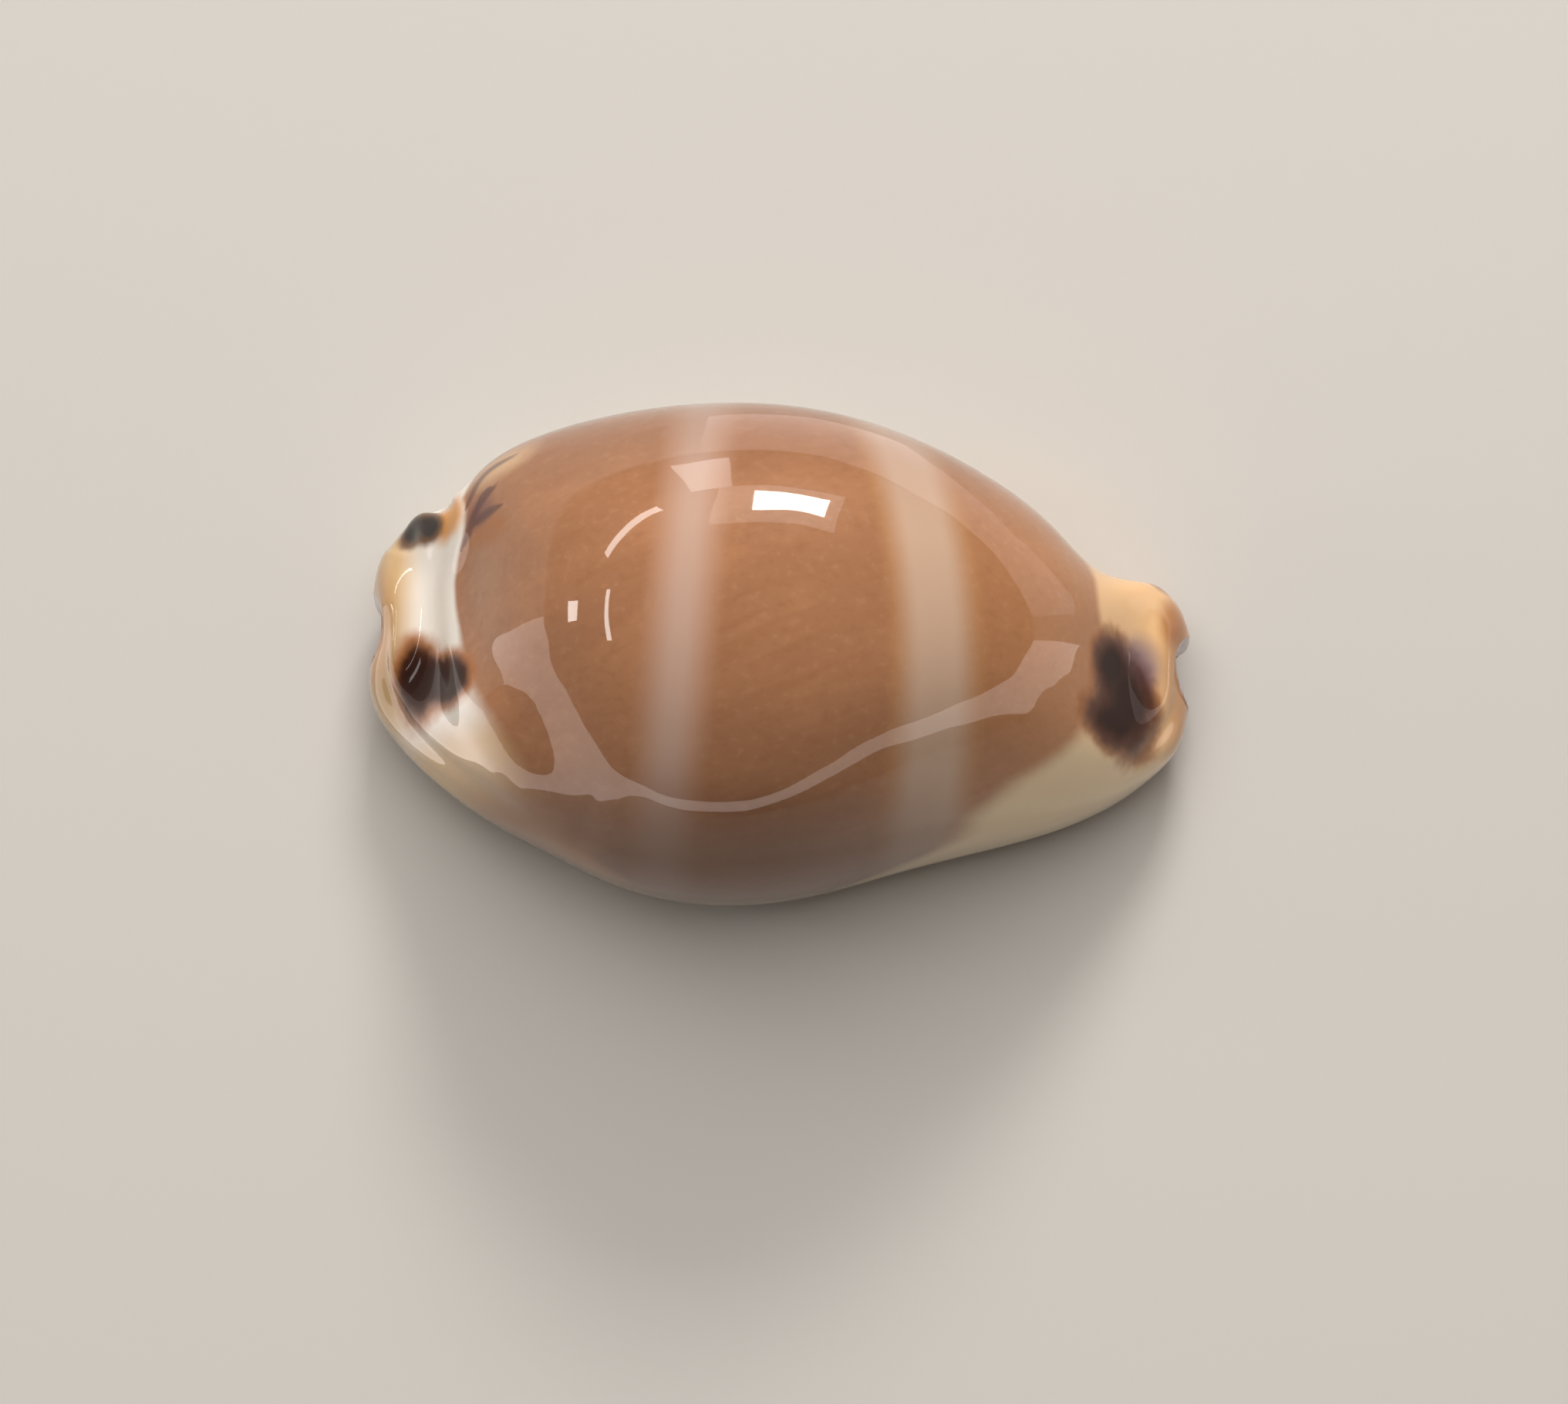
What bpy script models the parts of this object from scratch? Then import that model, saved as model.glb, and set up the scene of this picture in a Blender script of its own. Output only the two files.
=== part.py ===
"""Lurid cowrie: an empty sea shell, grown as one piece, lying on its flat base.

Frame: metres, +Z up, the shell rests on z = 0. The long axis is X, with the back end of the
animal (posterior) at -X and its front end (anterior) at +X. The outer, labral lip is on the
-Y side and the inner, columellar lip is on the +Y side, as on every right-handed cowrie.

The shell is a rolled sheet. Guide lines run along it from the rear canal to the front canal:
one along each margin, one along the back and one along the aperture. Cross sections are hung
on the guide lines, once for the outside and once for the hollow inside.
"""
import math

import bmesh
import bpy
import numpy as np

# Driving dimensions, in millimetres. The guide lines are drawn DRAWN_LENGTH long, and UNIT
# turns a drawn millimetre into metres of the shell.
LENGTH = 45.0
DRAWN_LENGTH = 44.92
UNIT = 0.001 * LENGTH / DRAWN_LENGTH
LIP_HALF_THICKNESS = 1.35
FOLD_LENGTH = 12.0
FOLD_HALF_THICKNESS = 0.6
FOLD_TURN = math.radians(205)
FOLD_GROWS = (0.06, 0.40)
FOLD_ENDS = (0.58, 0.92)
LIP_THINS_BY = 0.45
LABRAL_LIP_LENGTH = 1.9
LABRAL_LIP_TURN = math.radians(30)
# The rims of the canals: the share of the length over which the lobes round off, how far
# apart and how high their tips are, and the room beside a lip where a canal opens into the hollow.
RIM_SHARE = 0.03
LOBE_SPREAD = 1.25
LOBE_RISE = 1.15
CANAL_ROOM = (0.3, 3.5)
TOOTH_DEPTH = 0.42
TOOTH_ON_BASE = (1.0, 2.4)
TOOTH_UP_LIP = (1.6, 3.0)
LABRAL_TEETH = 20
COLUMELLAR_TEETH = 18
TEETH_START = 0.095
TEETH_END = 0.915

# Guide lines of the outside, as (x, y, z) points from the rear canal to the front canal.
LABRAL_MARGIN = [
    (-22.46, -0.95, 3.2), (-22.25, -2.30, 3.5),
    (-21.45, -3.85, 3.8), (-20.20, -5.35, 4.2), (-18.40, -7.00, 4.8), (-15.70, -8.95, 5.8),
    (-12.00, -10.85, 6.9), (-8.00, -12.60, 7.8), (-3.00, -13.35, 8.2), (2.00, -12.65, 7.9),
    (7.00, -10.95, 7.2), (12.00, -9.30, 6.0), (16.00, -7.80, 4.9), (18.60, -6.35, 4.2),
    (20.50, -4.80, 3.7), (21.95, -3.00, 3.4), (22.46, -1.00, 3.2),
]
COLUMELLAR_MARGIN = [
    (-22.46, 3.50, 3.4), (-22.20, 5.00, 3.8),
    (-21.35, 6.35, 4.6), (-19.80, 7.45, 6.0), (-18.20, 7.90, 7.2), (-16.60, 9.45, 8.0),
    (-14.00, 11.15, 8.4), (-10.00, 12.50, 8.7), (-4.00, 13.35, 8.8), (2.00, 13.10, 8.6),
    (7.00, 11.90, 8.1), (11.00, 10.20, 7.4), (14.50, 7.90, 6.4), (17.00, 6.00, 5.2),
    (19.00, 5.80, 4.2), (20.60, 5.70, 3.6), (21.80, 4.65, 3.3), (22.42, 3.20, 3.2),
]
BACK = [
    (-21.72, 1.10, 6.4), (-21.60, 1.15, 7.2), (-20.90, 1.20, 7.8),
    (-19.70, 1.20, 7.9), (-18.60, 1.10, 8.6), (-17.60, 1.00, 9.9), (-16.50, 0.90, 11.9),
    (-14.90, 0.80, 14.8), (-12.50, 0.60, 17.9), (-9.00, 0.40, 20.4), (-4.00, 0.20, 21.5),
    (0.00, 0.10, 21.6), (4.00, 0.10, 21.1), (8.50, 0.30, 19.4), (12.50, 0.50, 16.6),
    (15.50, 0.80, 13.3), (17.40, 1.10, 10.4), (18.80, 1.40, 8.3), (20.00, 1.80, 7.2),
    (21.00, 1.80, 6.6), (21.50, 1.50, 5.8),
]
# The aperture, as (x, middle y, half gap, lowest z of the lips).
APERTURE = [
    (-22.20, 1.25, 0.88, 0.85), (-20.30, 0.85, 0.90, 0.62), (-17.00, 0.20, 0.85, 0.18),
    (-13.00, -0.75, 0.86, -0.12), (-8.00, -1.50, 0.90, -0.24), (-2.00, -1.95, 0.98, -0.28),
    (4.00, -1.95, 1.08, -0.28), (10.00, -1.50, 1.30, -0.20), (14.00, -0.90, 1.48, -0.02),
    (18.00, 0.10, 1.42, 0.35), (20.30, 0.90, 1.10, 0.65), (22.20, 1.10, 0.78, 0.85),
]
# Guide lines of the hollow inside. They start and end with the outside ones.
CAVITY_LABRAL = [
    (-22.46, -0.95, 3.2), (-22.15, -0.15, 3.2), (-21.55, 0.15, 3.2), (-20.60, 0.10, 3.1),
    (-19.20, -0.55, 3.4), (-17.60, -2.90, 4.6),
    (-15.50, -6.60, 5.8), (-12.00, -9.40, 6.9), (-8.00, -11.25, 7.8), (-3.00, -12.10, 8.2),
    (2.00, -11.45, 7.9), (7.00, -9.70, 7.2), (12.00, -7.70, 6.2), (15.50, -5.20, 5.2),
    (18.00, -2.20, 4.4), (19.80, -0.40, 3.7), (20.90, 0.35, 3.3), (21.60, 0.55, 3.0),
    (22.25, 0.05, 3.1), (22.46, -1.00, 3.2),
]
CAVITY_COLUMELLAR = [
    (-22.46, 3.50, 3.4), (-22.15, 2.50, 3.4), (-21.55, 2.00, 3.4), (-20.60, 2.05, 3.3),
    (-19.20, 2.60, 3.6), (-17.80, 4.60, 5.2),
    (-16.20, 7.60, 7.0), (-13.80, 9.60, 8.0), (-10.00, 11.20, 8.6), (-4.00, 12.10, 8.8),
    (2.00, 11.80, 8.6), (7.00, 10.65, 8.1), (11.00, 8.75, 7.3), (14.20, 6.20, 6.2),
    (17.00, 3.70, 4.8), (19.40, 2.60, 3.8), (20.80, 2.25, 3.3), (21.60, 2.15, 3.0),
    (22.20, 2.45, 3.1), (22.42, 3.20, 3.2),
]
CAVITY_BACK = [
    (-21.72, 1.10, 6.4), (-21.40, 1.10, 5.4), (-20.60, 1.10, 4.9), (-19.20, 1.00, 5.0),
    (-17.60, 1.00, 6.4),
    (-16.20, 0.90, 9.5), (-14.60, 0.80, 12.9), (-12.20, 0.60, 16.4), (-9.00, 0.40, 19.0),
    (-4.00, 0.20, 20.2), (0.00, 0.10, 20.3), (4.00, 0.10, 19.8), (8.50, 0.30, 18.0),
    (12.10, 0.50, 15.2), (14.90, 0.80, 11.8), (17.00, 1.10, 8.2), (19.20, 1.40, 5.5),
    (20.40, 1.40, 4.8), (21.20, 1.40, 5.0), (21.50, 1.50, 5.8),
]
# Ridges and valleys of the upper side, as (x, y, height, half width); a valley is negative.
END_VALLEY = [
    (-17.60, 8.60, 0.00, 0.7), (-17.35, 5.80, -0.30, 0.7), (-17.75, 3.50, -0.35, 0.7),
    (-17.60, 1.00, -0.32, 0.8), (-17.20, -1.00, -0.35, 0.9), (-16.50, -3.40, -0.50, 1.2),
    (-14.90, -5.90, -0.75, 1.5), (-13.50, -7.90, -0.65, 1.5), (-12.00, -9.30, -0.40, 1.4),
    (-10.00, -10.60, 0.00, 1.2),
]
REAR_KEEL = [
    (-21.35, 2.20, 0.00, 0.4), (-21.45, 0.90, 0.20, 0.4), (-21.55, -1.10, 0.30, 0.45),
    (-21.10, -2.85, 0.35, 0.5), (-20.15, -4.50, 0.38, 0.5), (-18.85, -5.95, 0.38, 0.5),
    (-17.30, -7.30, 0.35, 0.55), (-15.30, -8.60, 0.28, 0.6), (-13.20, -9.60, 0.15, 0.7),
    (-11.00, -10.50, 0.00, 0.8),
]
SPIRE_LUMPS = [
    (-21.30, 5.10, 0.00, 0.8), (-20.60, 6.10, 0.35, 0.8), (-19.75, 6.75, 0.00, 0.6),
    (-18.85, 7.45, 0.40, 0.75), (-18.10, 7.90, 0.00, 0.7),
]
FRONT_KEEL = [
    (21.60, 1.60, 0.00, 0.4), (21.75, 0.20, 0.15, 0.4), (21.65, -1.40, 0.22, 0.5),
    (20.90, -2.90, 0.25, 0.5), (19.90, -4.20, 0.22, 0.5), (18.70, -5.30, 0.10, 0.6),
    (17.00, -6.30, 0.00, 0.6),
]
RELIEF = [END_VALLEY, REAR_KEEL, SPIRE_LUMPS, FRONT_KEEL]
RELIEF_FADES_BELOW = 0.2
# Fullness of the sections, as (share of the length, superellipse power); 2 is an ellipse.
UPPER_FULLNESS = [(0.0, 2.0), (0.05, 2.6), (0.10, 2.9), (0.20, 2.3), (0.5, 2.12), (0.8, 2.15),
                  (0.91, 2.4), (0.96, 2.3), (1.0, 2.0)]
LOWER_FULLNESS = [(0.0, 2.0), (0.10, 2.4), (0.25, 2.8), (0.5, 3.0), (0.75, 2.8), (0.9, 2.4),
                  (1.0, 2.0)]

# How finely the shell is cut: sections along it, and steps around it on each stretch.
TEETH_STEPS = 4
END_SECTIONS = 10
RIM_SECTIONS = 5
RELIEF_MARKS = 60
LIP_MARKS = 40
TIP_CROWDING = 1.25
WELD_GAP = 0.002
LIP_STEPS = 3
BASE_STEPS = 6
SHOULDER_STEPS = 10
FOLD_STEPS = 7
TOOTHED_STEPS = 4

SHELL_COLOUR = (0.34, 0.15, 0.07, 1.0)
SHELL_ROUGHNESS = 0.18


def smooth_step(value, low, high):
    """Rises smoothly from 0 at low to 1 at high."""
    share = np.clip((value - low) / (high - low), 0.0, 1.0)
    return share * share * (3.0 - 2.0 * share)


def spline_through(knots, values, at):
    """Natural cubic spline through values at knots, read at the places asked for."""
    knots = np.asarray(knots, float)
    values = np.asarray(values, float)
    gaps = np.diff(knots)
    slopes = np.diff(values, axis=0) / gaps[:, None]
    count = len(knots)
    system = np.eye(count)
    right = np.zeros_like(values)
    for k in range(1, count - 1):
        system[k, k - 1] = gaps[k - 1]
        system[k, k] = 2.0 * (gaps[k - 1] + gaps[k])
        system[k, k + 1] = gaps[k]
        right[k] = 6.0 * (slopes[k] - slopes[k - 1])
    bend = np.linalg.solve(system, right)
    span = np.clip(np.searchsorted(knots, at, side="right") - 1, 0, count - 2)
    gap = gaps[span][:, None]
    before = (knots[span + 1] - at)[:, None]
    after = (at - knots[span])[:, None]
    return (bend[span] * before ** 3 / (6.0 * gap) + bend[span + 1] * after ** 3 / (6.0 * gap)
            + (values[span] / gap - bend[span] * gap / 6.0) * before
            + (values[span + 1] / gap - bend[span + 1] * gap / 6.0) * after)


def follow(guide, shares):
    """Points on a guide line at shares of its length, in millimetres."""
    points = np.array(guide, float)
    steps = np.linalg.norm(np.diff(points[:, :3], axis=0), axis=1)
    knots = np.concatenate([[0.0], np.cumsum(steps)])
    return spline_through(knots / knots[-1], points, shares)


def power_at(pairs, shares):
    """Superellipse power at each share of the length."""
    table = np.array(pairs)
    return spline_through(table[:, 0], table[:, 1:2], shares)[:, 0]


def rim_factor(share):
    """0 at both canal rims, rising on an elliptic arc to 1 a little way in."""
    inwards = np.clip(np.minimum(share, 1.0 - share) / RIM_SHARE, 0.0, 1.0)
    return math.sqrt(1.0 - (1.0 - inwards) ** 2)


def quadrant(corner, end, middle_y, middle_z, power, steps):
    """Superellipse quarter from corner to end, as rows of (x, y, z) without the first point.

    The curve leaves corner upright and reaches end level, or the other way round, around the
    centre (middle_y, middle_z).
    """
    rows = []
    for k in range(1, steps + 1):
        turn = 0.5 * math.pi * k / steps
        away = math.cos(turn) ** (2.0 / power)
        along = math.sin(turn) ** (2.0 / power)
        mix = math.sin(turn) ** 2
        x = corner[0] + (end[0] - corner[0]) * mix
        y = middle_y + (corner[1] - middle_y) * away
        z = middle_z + (end[2] - middle_z) * along
        rows.append((x, y, z))
    return rows


def lip_tongue(length, whole, turn, root, tip, steps):
    """The two sides of a rolled lip in section, as offsets (across, up) from its root.

    The middle line starts level and curls upwards by turn over its whole length, quickest at
    the start, and the lip is cut short at length. The half thickness goes from root to tip
    and is rounded off at the end.
    """
    count = steps * LIP_MARKS
    shares = np.linspace(0.0, 1.0, count + 1)
    heading = turn * (1.0 - (1.0 - shares * length / whole) ** 2)
    step = length / count
    across = np.concatenate([[0.0], np.cumsum(np.cos(heading[:-1]) * step)])
    up = np.concatenate([[0.0], np.cumsum(np.sin(heading[:-1]) * step)])
    half = root + (tip - root) * smooth_step(shares, 0.0, LIP_THINS_BY)
    from_tip = np.clip(1.0 - (1.0 - shares) * length / np.maximum(half, 1e-9), 0.0, 1.0)
    half = half * np.sqrt(1.0 - from_tip ** 2)
    places = 1.0 - (1.0 - np.linspace(0.0, 1.0, steps + 1)) ** TIP_CROWDING
    picks = np.round(places * count).astype(int)
    below = np.stack([across + np.sin(heading) * half, up - np.cos(heading) * half], axis=1)
    above = np.stack([across - np.sin(heading) * half, up + np.cos(heading) * half], axis=1)
    return below[picks], above[picks]


def section(share, labral, columellar, back, gap, powers, inside):
    """One cross section from the tip of the labral lip to the tip of the columellar fold."""
    upper, lower = powers
    rim = rim_factor(share)
    half = LIP_HALF_THICKNESS * rim + 1e-4
    x_gap, middle, half_gap, lowest = gap
    half_gap += LOBE_SPREAD * (1.0 - rim)
    lowest += LOBE_RISE * (1.0 - rim)
    fold = smooth_step(share, *FOLD_GROWS) * (1.0 - smooth_step(share, *FOLD_ENDS))
    lips = []
    for side in (-1.0, 1.0):
        if side < 0:
            whole = half * LABRAL_LIP_LENGTH / LIP_HALF_THICKNESS
            shape = lip_tongue(whole, whole, LABRAL_LIP_TURN, half, half, LIP_STEPS)
        else:
            whole = half * FOLD_LENGTH / LIP_HALF_THICKNESS
            length = half + (whole - half) * fold
            tip = half + (FOLD_HALF_THICKNESS - half) * fold
            shape = lip_tongue(length, whole, FOLD_TURN, half, tip, FOLD_STEPS)
        reach = shape[0][:, 0].max()
        root = middle + side * (half_gap + reach)
        chosen = shape[1] if inside else shape[0]
        lips.append([(x_gap, root - side * a, lowest + half + u) for a, u in chosen])
    paths = []
    for side, lip, margin in ((-1.0, lips[0], labral), (1.0, lips[1], columellar)):
        base = quadrant(margin, lip[0], lip[0][1], margin[2], lower, BASE_STEPS)
        path = np.array([margin] + base[:-1] + lip)
        if inside:
            straight = margin + (path[-1] - margin) * np.linspace(0.0, 1.0, len(path))[:, None]
            room = smooth_step(side * (margin[1] - path[-1][1]), *CANAL_ROOM)
            path = straight + (path - straight) * room
        paths.append(path)
    left = quadrant(labral, back, back[1], labral[2], upper, SHOULDER_STEPS)
    right = quadrant(columellar, back, back[1], columellar[2], upper, SHOULDER_STEPS)
    return np.concatenate([paths[0][::-1], left, right[-2::-1], paths[1]])


def shell_points(shares):
    """Grid of points: one closed loop per share, outside first and then back along the inside."""
    gaps = follow(APERTURE, shares)
    powers = np.stack([power_at(UPPER_FULLNESS, shares), power_at(LOWER_FULLNESS, shares)], 1)
    outside = [follow(g, shares) for g in (LABRAL_MARGIN, COLUMELLAR_MARGIN, BACK)]
    inside = [follow(g, shares) for g in (CAVITY_LABRAL, CAVITY_COLUMELLAR, CAVITY_BACK)]
    outer = []
    inner = []
    for k, share in enumerate(shares):
        outer.append(section(share, *(g[k] for g in outside), gaps[k], powers[k], False))
        inner.append(section(share, *(g[k] for g in inside), gaps[k], powers[k], True))
    return np.array(outer), np.array(inner), gaps


def surface_normals(grid):
    """Unit normals of a grid of points, pointing out of the shell."""
    ahead = np.gradient(grid, axis=0)
    around = np.gradient(grid, axis=1)
    normal = np.cross(around, ahead)
    return normal / np.maximum(np.linalg.norm(normal, axis=2), 1e-12)[..., None]


def add_relief(outer):
    """Raises the ridges and sinks the valleys of the upper side."""
    margins = [LIP_STEPS + BASE_STEPS, LIP_STEPS + BASE_STEPS + 2 * SHOULDER_STEPS]
    top = outer[:, (margins[0] + margins[1]) // 2, 2][:, None]
    upper = np.zeros(outer.shape[:2])
    for side, low, high in ((0, margins[0], sum(margins) // 2), (1, sum(margins) // 2, margins[1])):
        edge = outer[:, margins[side], 2][:, None]
        rise = (outer[:, low:high + 1, 2] - edge) / (top - edge)
        upper[:, low:high + 1] = smooth_step(rise, 0.0, RELIEF_FADES_BELOW)
    height = np.zeros(outer.shape[:2])
    for line in RELIEF:
        marks = follow([(x, y, 0.0, h, w) for x, y, h, w in line], np.linspace(0.0, 1.0, RELIEF_MARKS))
        away = (outer[..., None, 0] - marks[:, 0]) ** 2 + (outer[..., None, 1] - marks[:, 1]) ** 2
        near = np.argmin(away, axis=2)
        height += marks[near, 3] * np.exp(-away.min(axis=2) / marks[near, 4] ** 2)
    return outer + surface_normals(outer) * (height * upper)[..., None]


def tooth_wave(share, teeth):
    """1 on the crest of each tooth, 0 between two teeth, and 1 past the last tooth."""
    place = (share - TEETH_START) / (TEETH_END - TEETH_START) * LABRAL_TEETH
    skipped = (LABRAL_TEETH - teeth) // 2
    toothed = (place > skipped + 0.5) & (place < skipped + teeth - 0.5)
    return np.where(toothed, 0.5 - 0.5 * np.cos(2.0 * math.pi * place), 1.0)


def cut_teeth(outer, gaps, shares):
    """Moves the lip points inwards between the teeth."""
    middle = gaps[:, 1][:, None]
    beyond = np.abs(outer[..., 1] - middle) - gaps[:, 2][:, None]
    above = outer[..., 2] - gaps[:, 3][:, None]
    near = (1.0 - smooth_step(beyond, *TOOTH_ON_BASE)) * (1.0 - smooth_step(above, *TOOTH_UP_LIP))
    labral = outer[..., 1] < middle
    wave = np.where(labral, tooth_wave(shares, LABRAL_TEETH)[:, None],
                    tooth_wave(shares, COLUMELLAR_TEETH)[:, None])
    depth = TOOTH_DEPTH * near * (1.0 - wave)
    return outer - surface_normals(outer) * depth[..., None]


def section_shares():
    """Where the sections lie: crowded at the rims, a few to a tooth in between."""
    turns = np.linspace(0.0, 0.5 * math.pi, RIM_SECTIONS + 1)
    rim = RIM_SHARE * (1.0 - np.cos(turns))
    start = np.linspace(RIM_SHARE, TEETH_START, END_SECTIONS - RIM_SECTIONS + 1)[1:-1]
    end = np.linspace(RIM_SHARE, 1.0 - TEETH_END, END_SECTIONS - RIM_SECTIONS + 1)[1:-1]
    middle = np.linspace(TEETH_START, TEETH_END, LABRAL_TEETH * TEETH_STEPS + 1)
    return np.concatenate([rim, start, middle, 1.0 - end[::-1], 1.0 - rim[::-1]])


def lay_skin(bm, loops):
    """Lays a grid over closed loops of points and returns its corners by section and place."""
    along, around = loops.shape[0] - 1, loops.shape[1] - 1
    bmesh.ops.create_grid(bm, x_segments=along, y_segments=around, size=1.0)
    laid = {}
    for vert in bm.verts:
        i = round((vert.co.x + 1.0) * 0.5 * along)
        j = round((vert.co.y + 1.0) * 0.5 * around)
        laid[i, j] = vert
        vert.co = loops[i, j] * UNIT
    return laid


def mark_spare_edges(bm, laid, along, around):
    """Marks section edges where no tooth needs them: every second outside, more inside."""
    half_way = around // 2
    toothed = set(range(0, LIP_STEPS + TOOTHED_STEPS))
    fold_root = half_way - FOLD_STEPS
    toothed |= set(range(fold_root - TOOTHED_STEPS, fold_root + TOOTHED_STEPS))
    for i in range(END_SECTIONS, along - END_SECTIONS + 1):
        from_start = i - END_SECTIONS
        for j in range(around):
            outside = j < half_way
            if outside and (j in toothed or from_start % 2 == 0):
                continue
            if not outside and from_start % 4 == 0:
                continue
            bm.edges.get((laid[i, j], laid[i, j + 1])).seam = True


def weld(bm):
    """Closes the skin along its seam and its two rims, and drops the spare edges."""
    bmesh.ops.remove_doubles(bm, verts=bm.verts, dist=WELD_GAP * UNIT)
    spare = [edge for edge in bm.edges if edge.seam]
    bmesh.ops.dissolve_edges(bm, edges=spare, use_verts=True)
    bmesh.ops.recalc_face_normals(bm, faces=bm.faces)


def shell_material():
    """Glossy brown porcelain-like shell."""
    material = bpy.data.materials.new("cowrie_shell_gloss")
    material.use_nodes = True
    shader = material.node_tree.nodes["Principled BSDF"]
    shader.inputs["Base Color"].default_value = SHELL_COLOUR
    shader.inputs["Roughness"].default_value = SHELL_ROUGHNESS
    shader.inputs["Metallic"].default_value = 0.0
    return material


def build_shell():
    """The whole shell as one closed mesh object."""
    shares = section_shares()
    outer, inner, gaps = shell_points(shares)
    outer = add_relief(outer)
    outer = cut_teeth(outer, gaps, shares)
    outer[..., 2] = np.maximum(outer[..., 2], 0.0)
    for edge in ((0, slice(None)), (-1, slice(None)), (slice(None), 0), (slice(None), -1)):
        inner[edge] = outer[edge]
    loops = np.concatenate([outer[:, :-1], inner[:, ::-1]], axis=1)
    bm = bmesh.new()
    laid = lay_skin(bm, loops)
    mark_spare_edges(bm, laid, loops.shape[0] - 1, loops.shape[1] - 1)
    weld(bm)
    mesh = bpy.data.meshes.new("cowrie_shell")
    bm.to_mesh(mesh)
    bm.free()
    mesh.shade_smooth()
    mesh.materials.append(shell_material())
    shell = bpy.data.objects.new("cowrie_shell", mesh)
    bpy.context.scene.collection.objects.link(shell)
    return shell


def main():
    """Clears the scene and builds the shell."""
    for old in list(bpy.data.objects):
        bpy.data.objects.remove(old, do_unlink=True)
    build_shell()


main()
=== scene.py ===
"""Lurid cowrie on a pale floor: the shell and its enamel, lights, mirrored cards and camera.

Sizes are millimetres in the shell's own frame, and are turned into metres where a mesh, a light
or the camera is made. +X is the front end of the shell, +Y its inner, columellar side and -Y its
outer, labral side. The shell rests on z = 0.
"""
import logging
import math
from dataclasses import dataclass
from enum import Enum
from typing import Any

import bmesh
import bpy
import numpy as np
from mathutils import Matrix, Vector


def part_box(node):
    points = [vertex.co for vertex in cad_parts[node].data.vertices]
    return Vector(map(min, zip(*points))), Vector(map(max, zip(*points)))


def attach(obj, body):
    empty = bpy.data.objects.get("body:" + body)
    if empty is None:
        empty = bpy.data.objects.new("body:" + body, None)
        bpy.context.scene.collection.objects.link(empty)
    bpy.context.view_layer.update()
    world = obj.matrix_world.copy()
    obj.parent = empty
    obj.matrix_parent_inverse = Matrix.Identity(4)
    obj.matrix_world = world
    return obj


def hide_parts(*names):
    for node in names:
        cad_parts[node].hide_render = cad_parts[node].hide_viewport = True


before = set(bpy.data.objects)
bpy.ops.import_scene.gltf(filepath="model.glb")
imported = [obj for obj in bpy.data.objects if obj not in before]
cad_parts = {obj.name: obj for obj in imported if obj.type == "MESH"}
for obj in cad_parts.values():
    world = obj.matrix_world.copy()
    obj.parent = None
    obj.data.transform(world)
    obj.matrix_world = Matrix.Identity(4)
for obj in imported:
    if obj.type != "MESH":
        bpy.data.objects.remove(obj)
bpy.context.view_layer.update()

log = logging.getLogger("lurid_cowrie")

MM = 0.001
# Least length that a direction is divided by.
NO_LENGTH = 1e-12
LIP_HALF_THICKNESS = 1.35
# How far from the shell the mirrored cards stand.
FAR = 700.0
# Rows of numbers, such as the points that a line is drawn through.
Points = tuple[tuple[float, ...], ...]


class Side(Enum):
    """The two lips of the aperture, by the sign of their Y."""

    LABRAL = -1.0
    COLUMELLAR = 1.0


class Skin(Enum):
    """The two skins of the rolled sheet."""

    OUTSIDE = "outside"
    INSIDE = "inside"


def smooth_step(value: Any, low: float, high: float) -> np.ndarray:
    """Rises smoothly from 0 at low to 1 at high."""
    share = np.clip((value - low) / (high - low), 0.0, 1.0)
    return share * share * (3.0 - 2.0 * share)


def spline_through(knots: np.ndarray, values: np.ndarray, at: np.ndarray) -> np.ndarray:
    """Natural cubic spline.

    Args:
        knots: rising places of the known values.
        values: one row for each knot.
        at: places to read the spline at.

    Returns:
        One row for each place.
    """
    gaps = np.diff(knots)
    slopes = np.diff(values, axis=0) / gaps[:, None]
    count = len(knots)
    system = np.eye(count)
    right = np.zeros_like(values)
    for k in range(1, count - 1):
        system[k, k - 1] = gaps[k - 1]
        system[k, k] = 2.0 * (gaps[k - 1] + gaps[k])
        system[k, k + 1] = gaps[k]
        right[k] = 6.0 * (slopes[k] - slopes[k - 1])
    bend = np.linalg.solve(system, right)
    span = np.clip(np.searchsorted(knots, at, side="right") - 1, 0, count - 2)
    gap = gaps[span][:, None]
    before = (knots[span + 1] - at)[:, None]
    after = (at - knots[span])[:, None]
    curved = (bend[span] * before ** 3 + bend[span + 1] * after ** 3) / (6.0 * gap)
    start = (values[span] / gap - bend[span] * gap / 6.0) * before
    end = (values[span + 1] / gap - bend[span + 1] * gap / 6.0) * after
    return curved + start + end


def grid_line(across: float, segments: int) -> int:
    """Which line of a new grid, which reaches from -1 to 1, a vertex lies on."""
    return round((across + 1.0) * 0.5 * segments)


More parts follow.
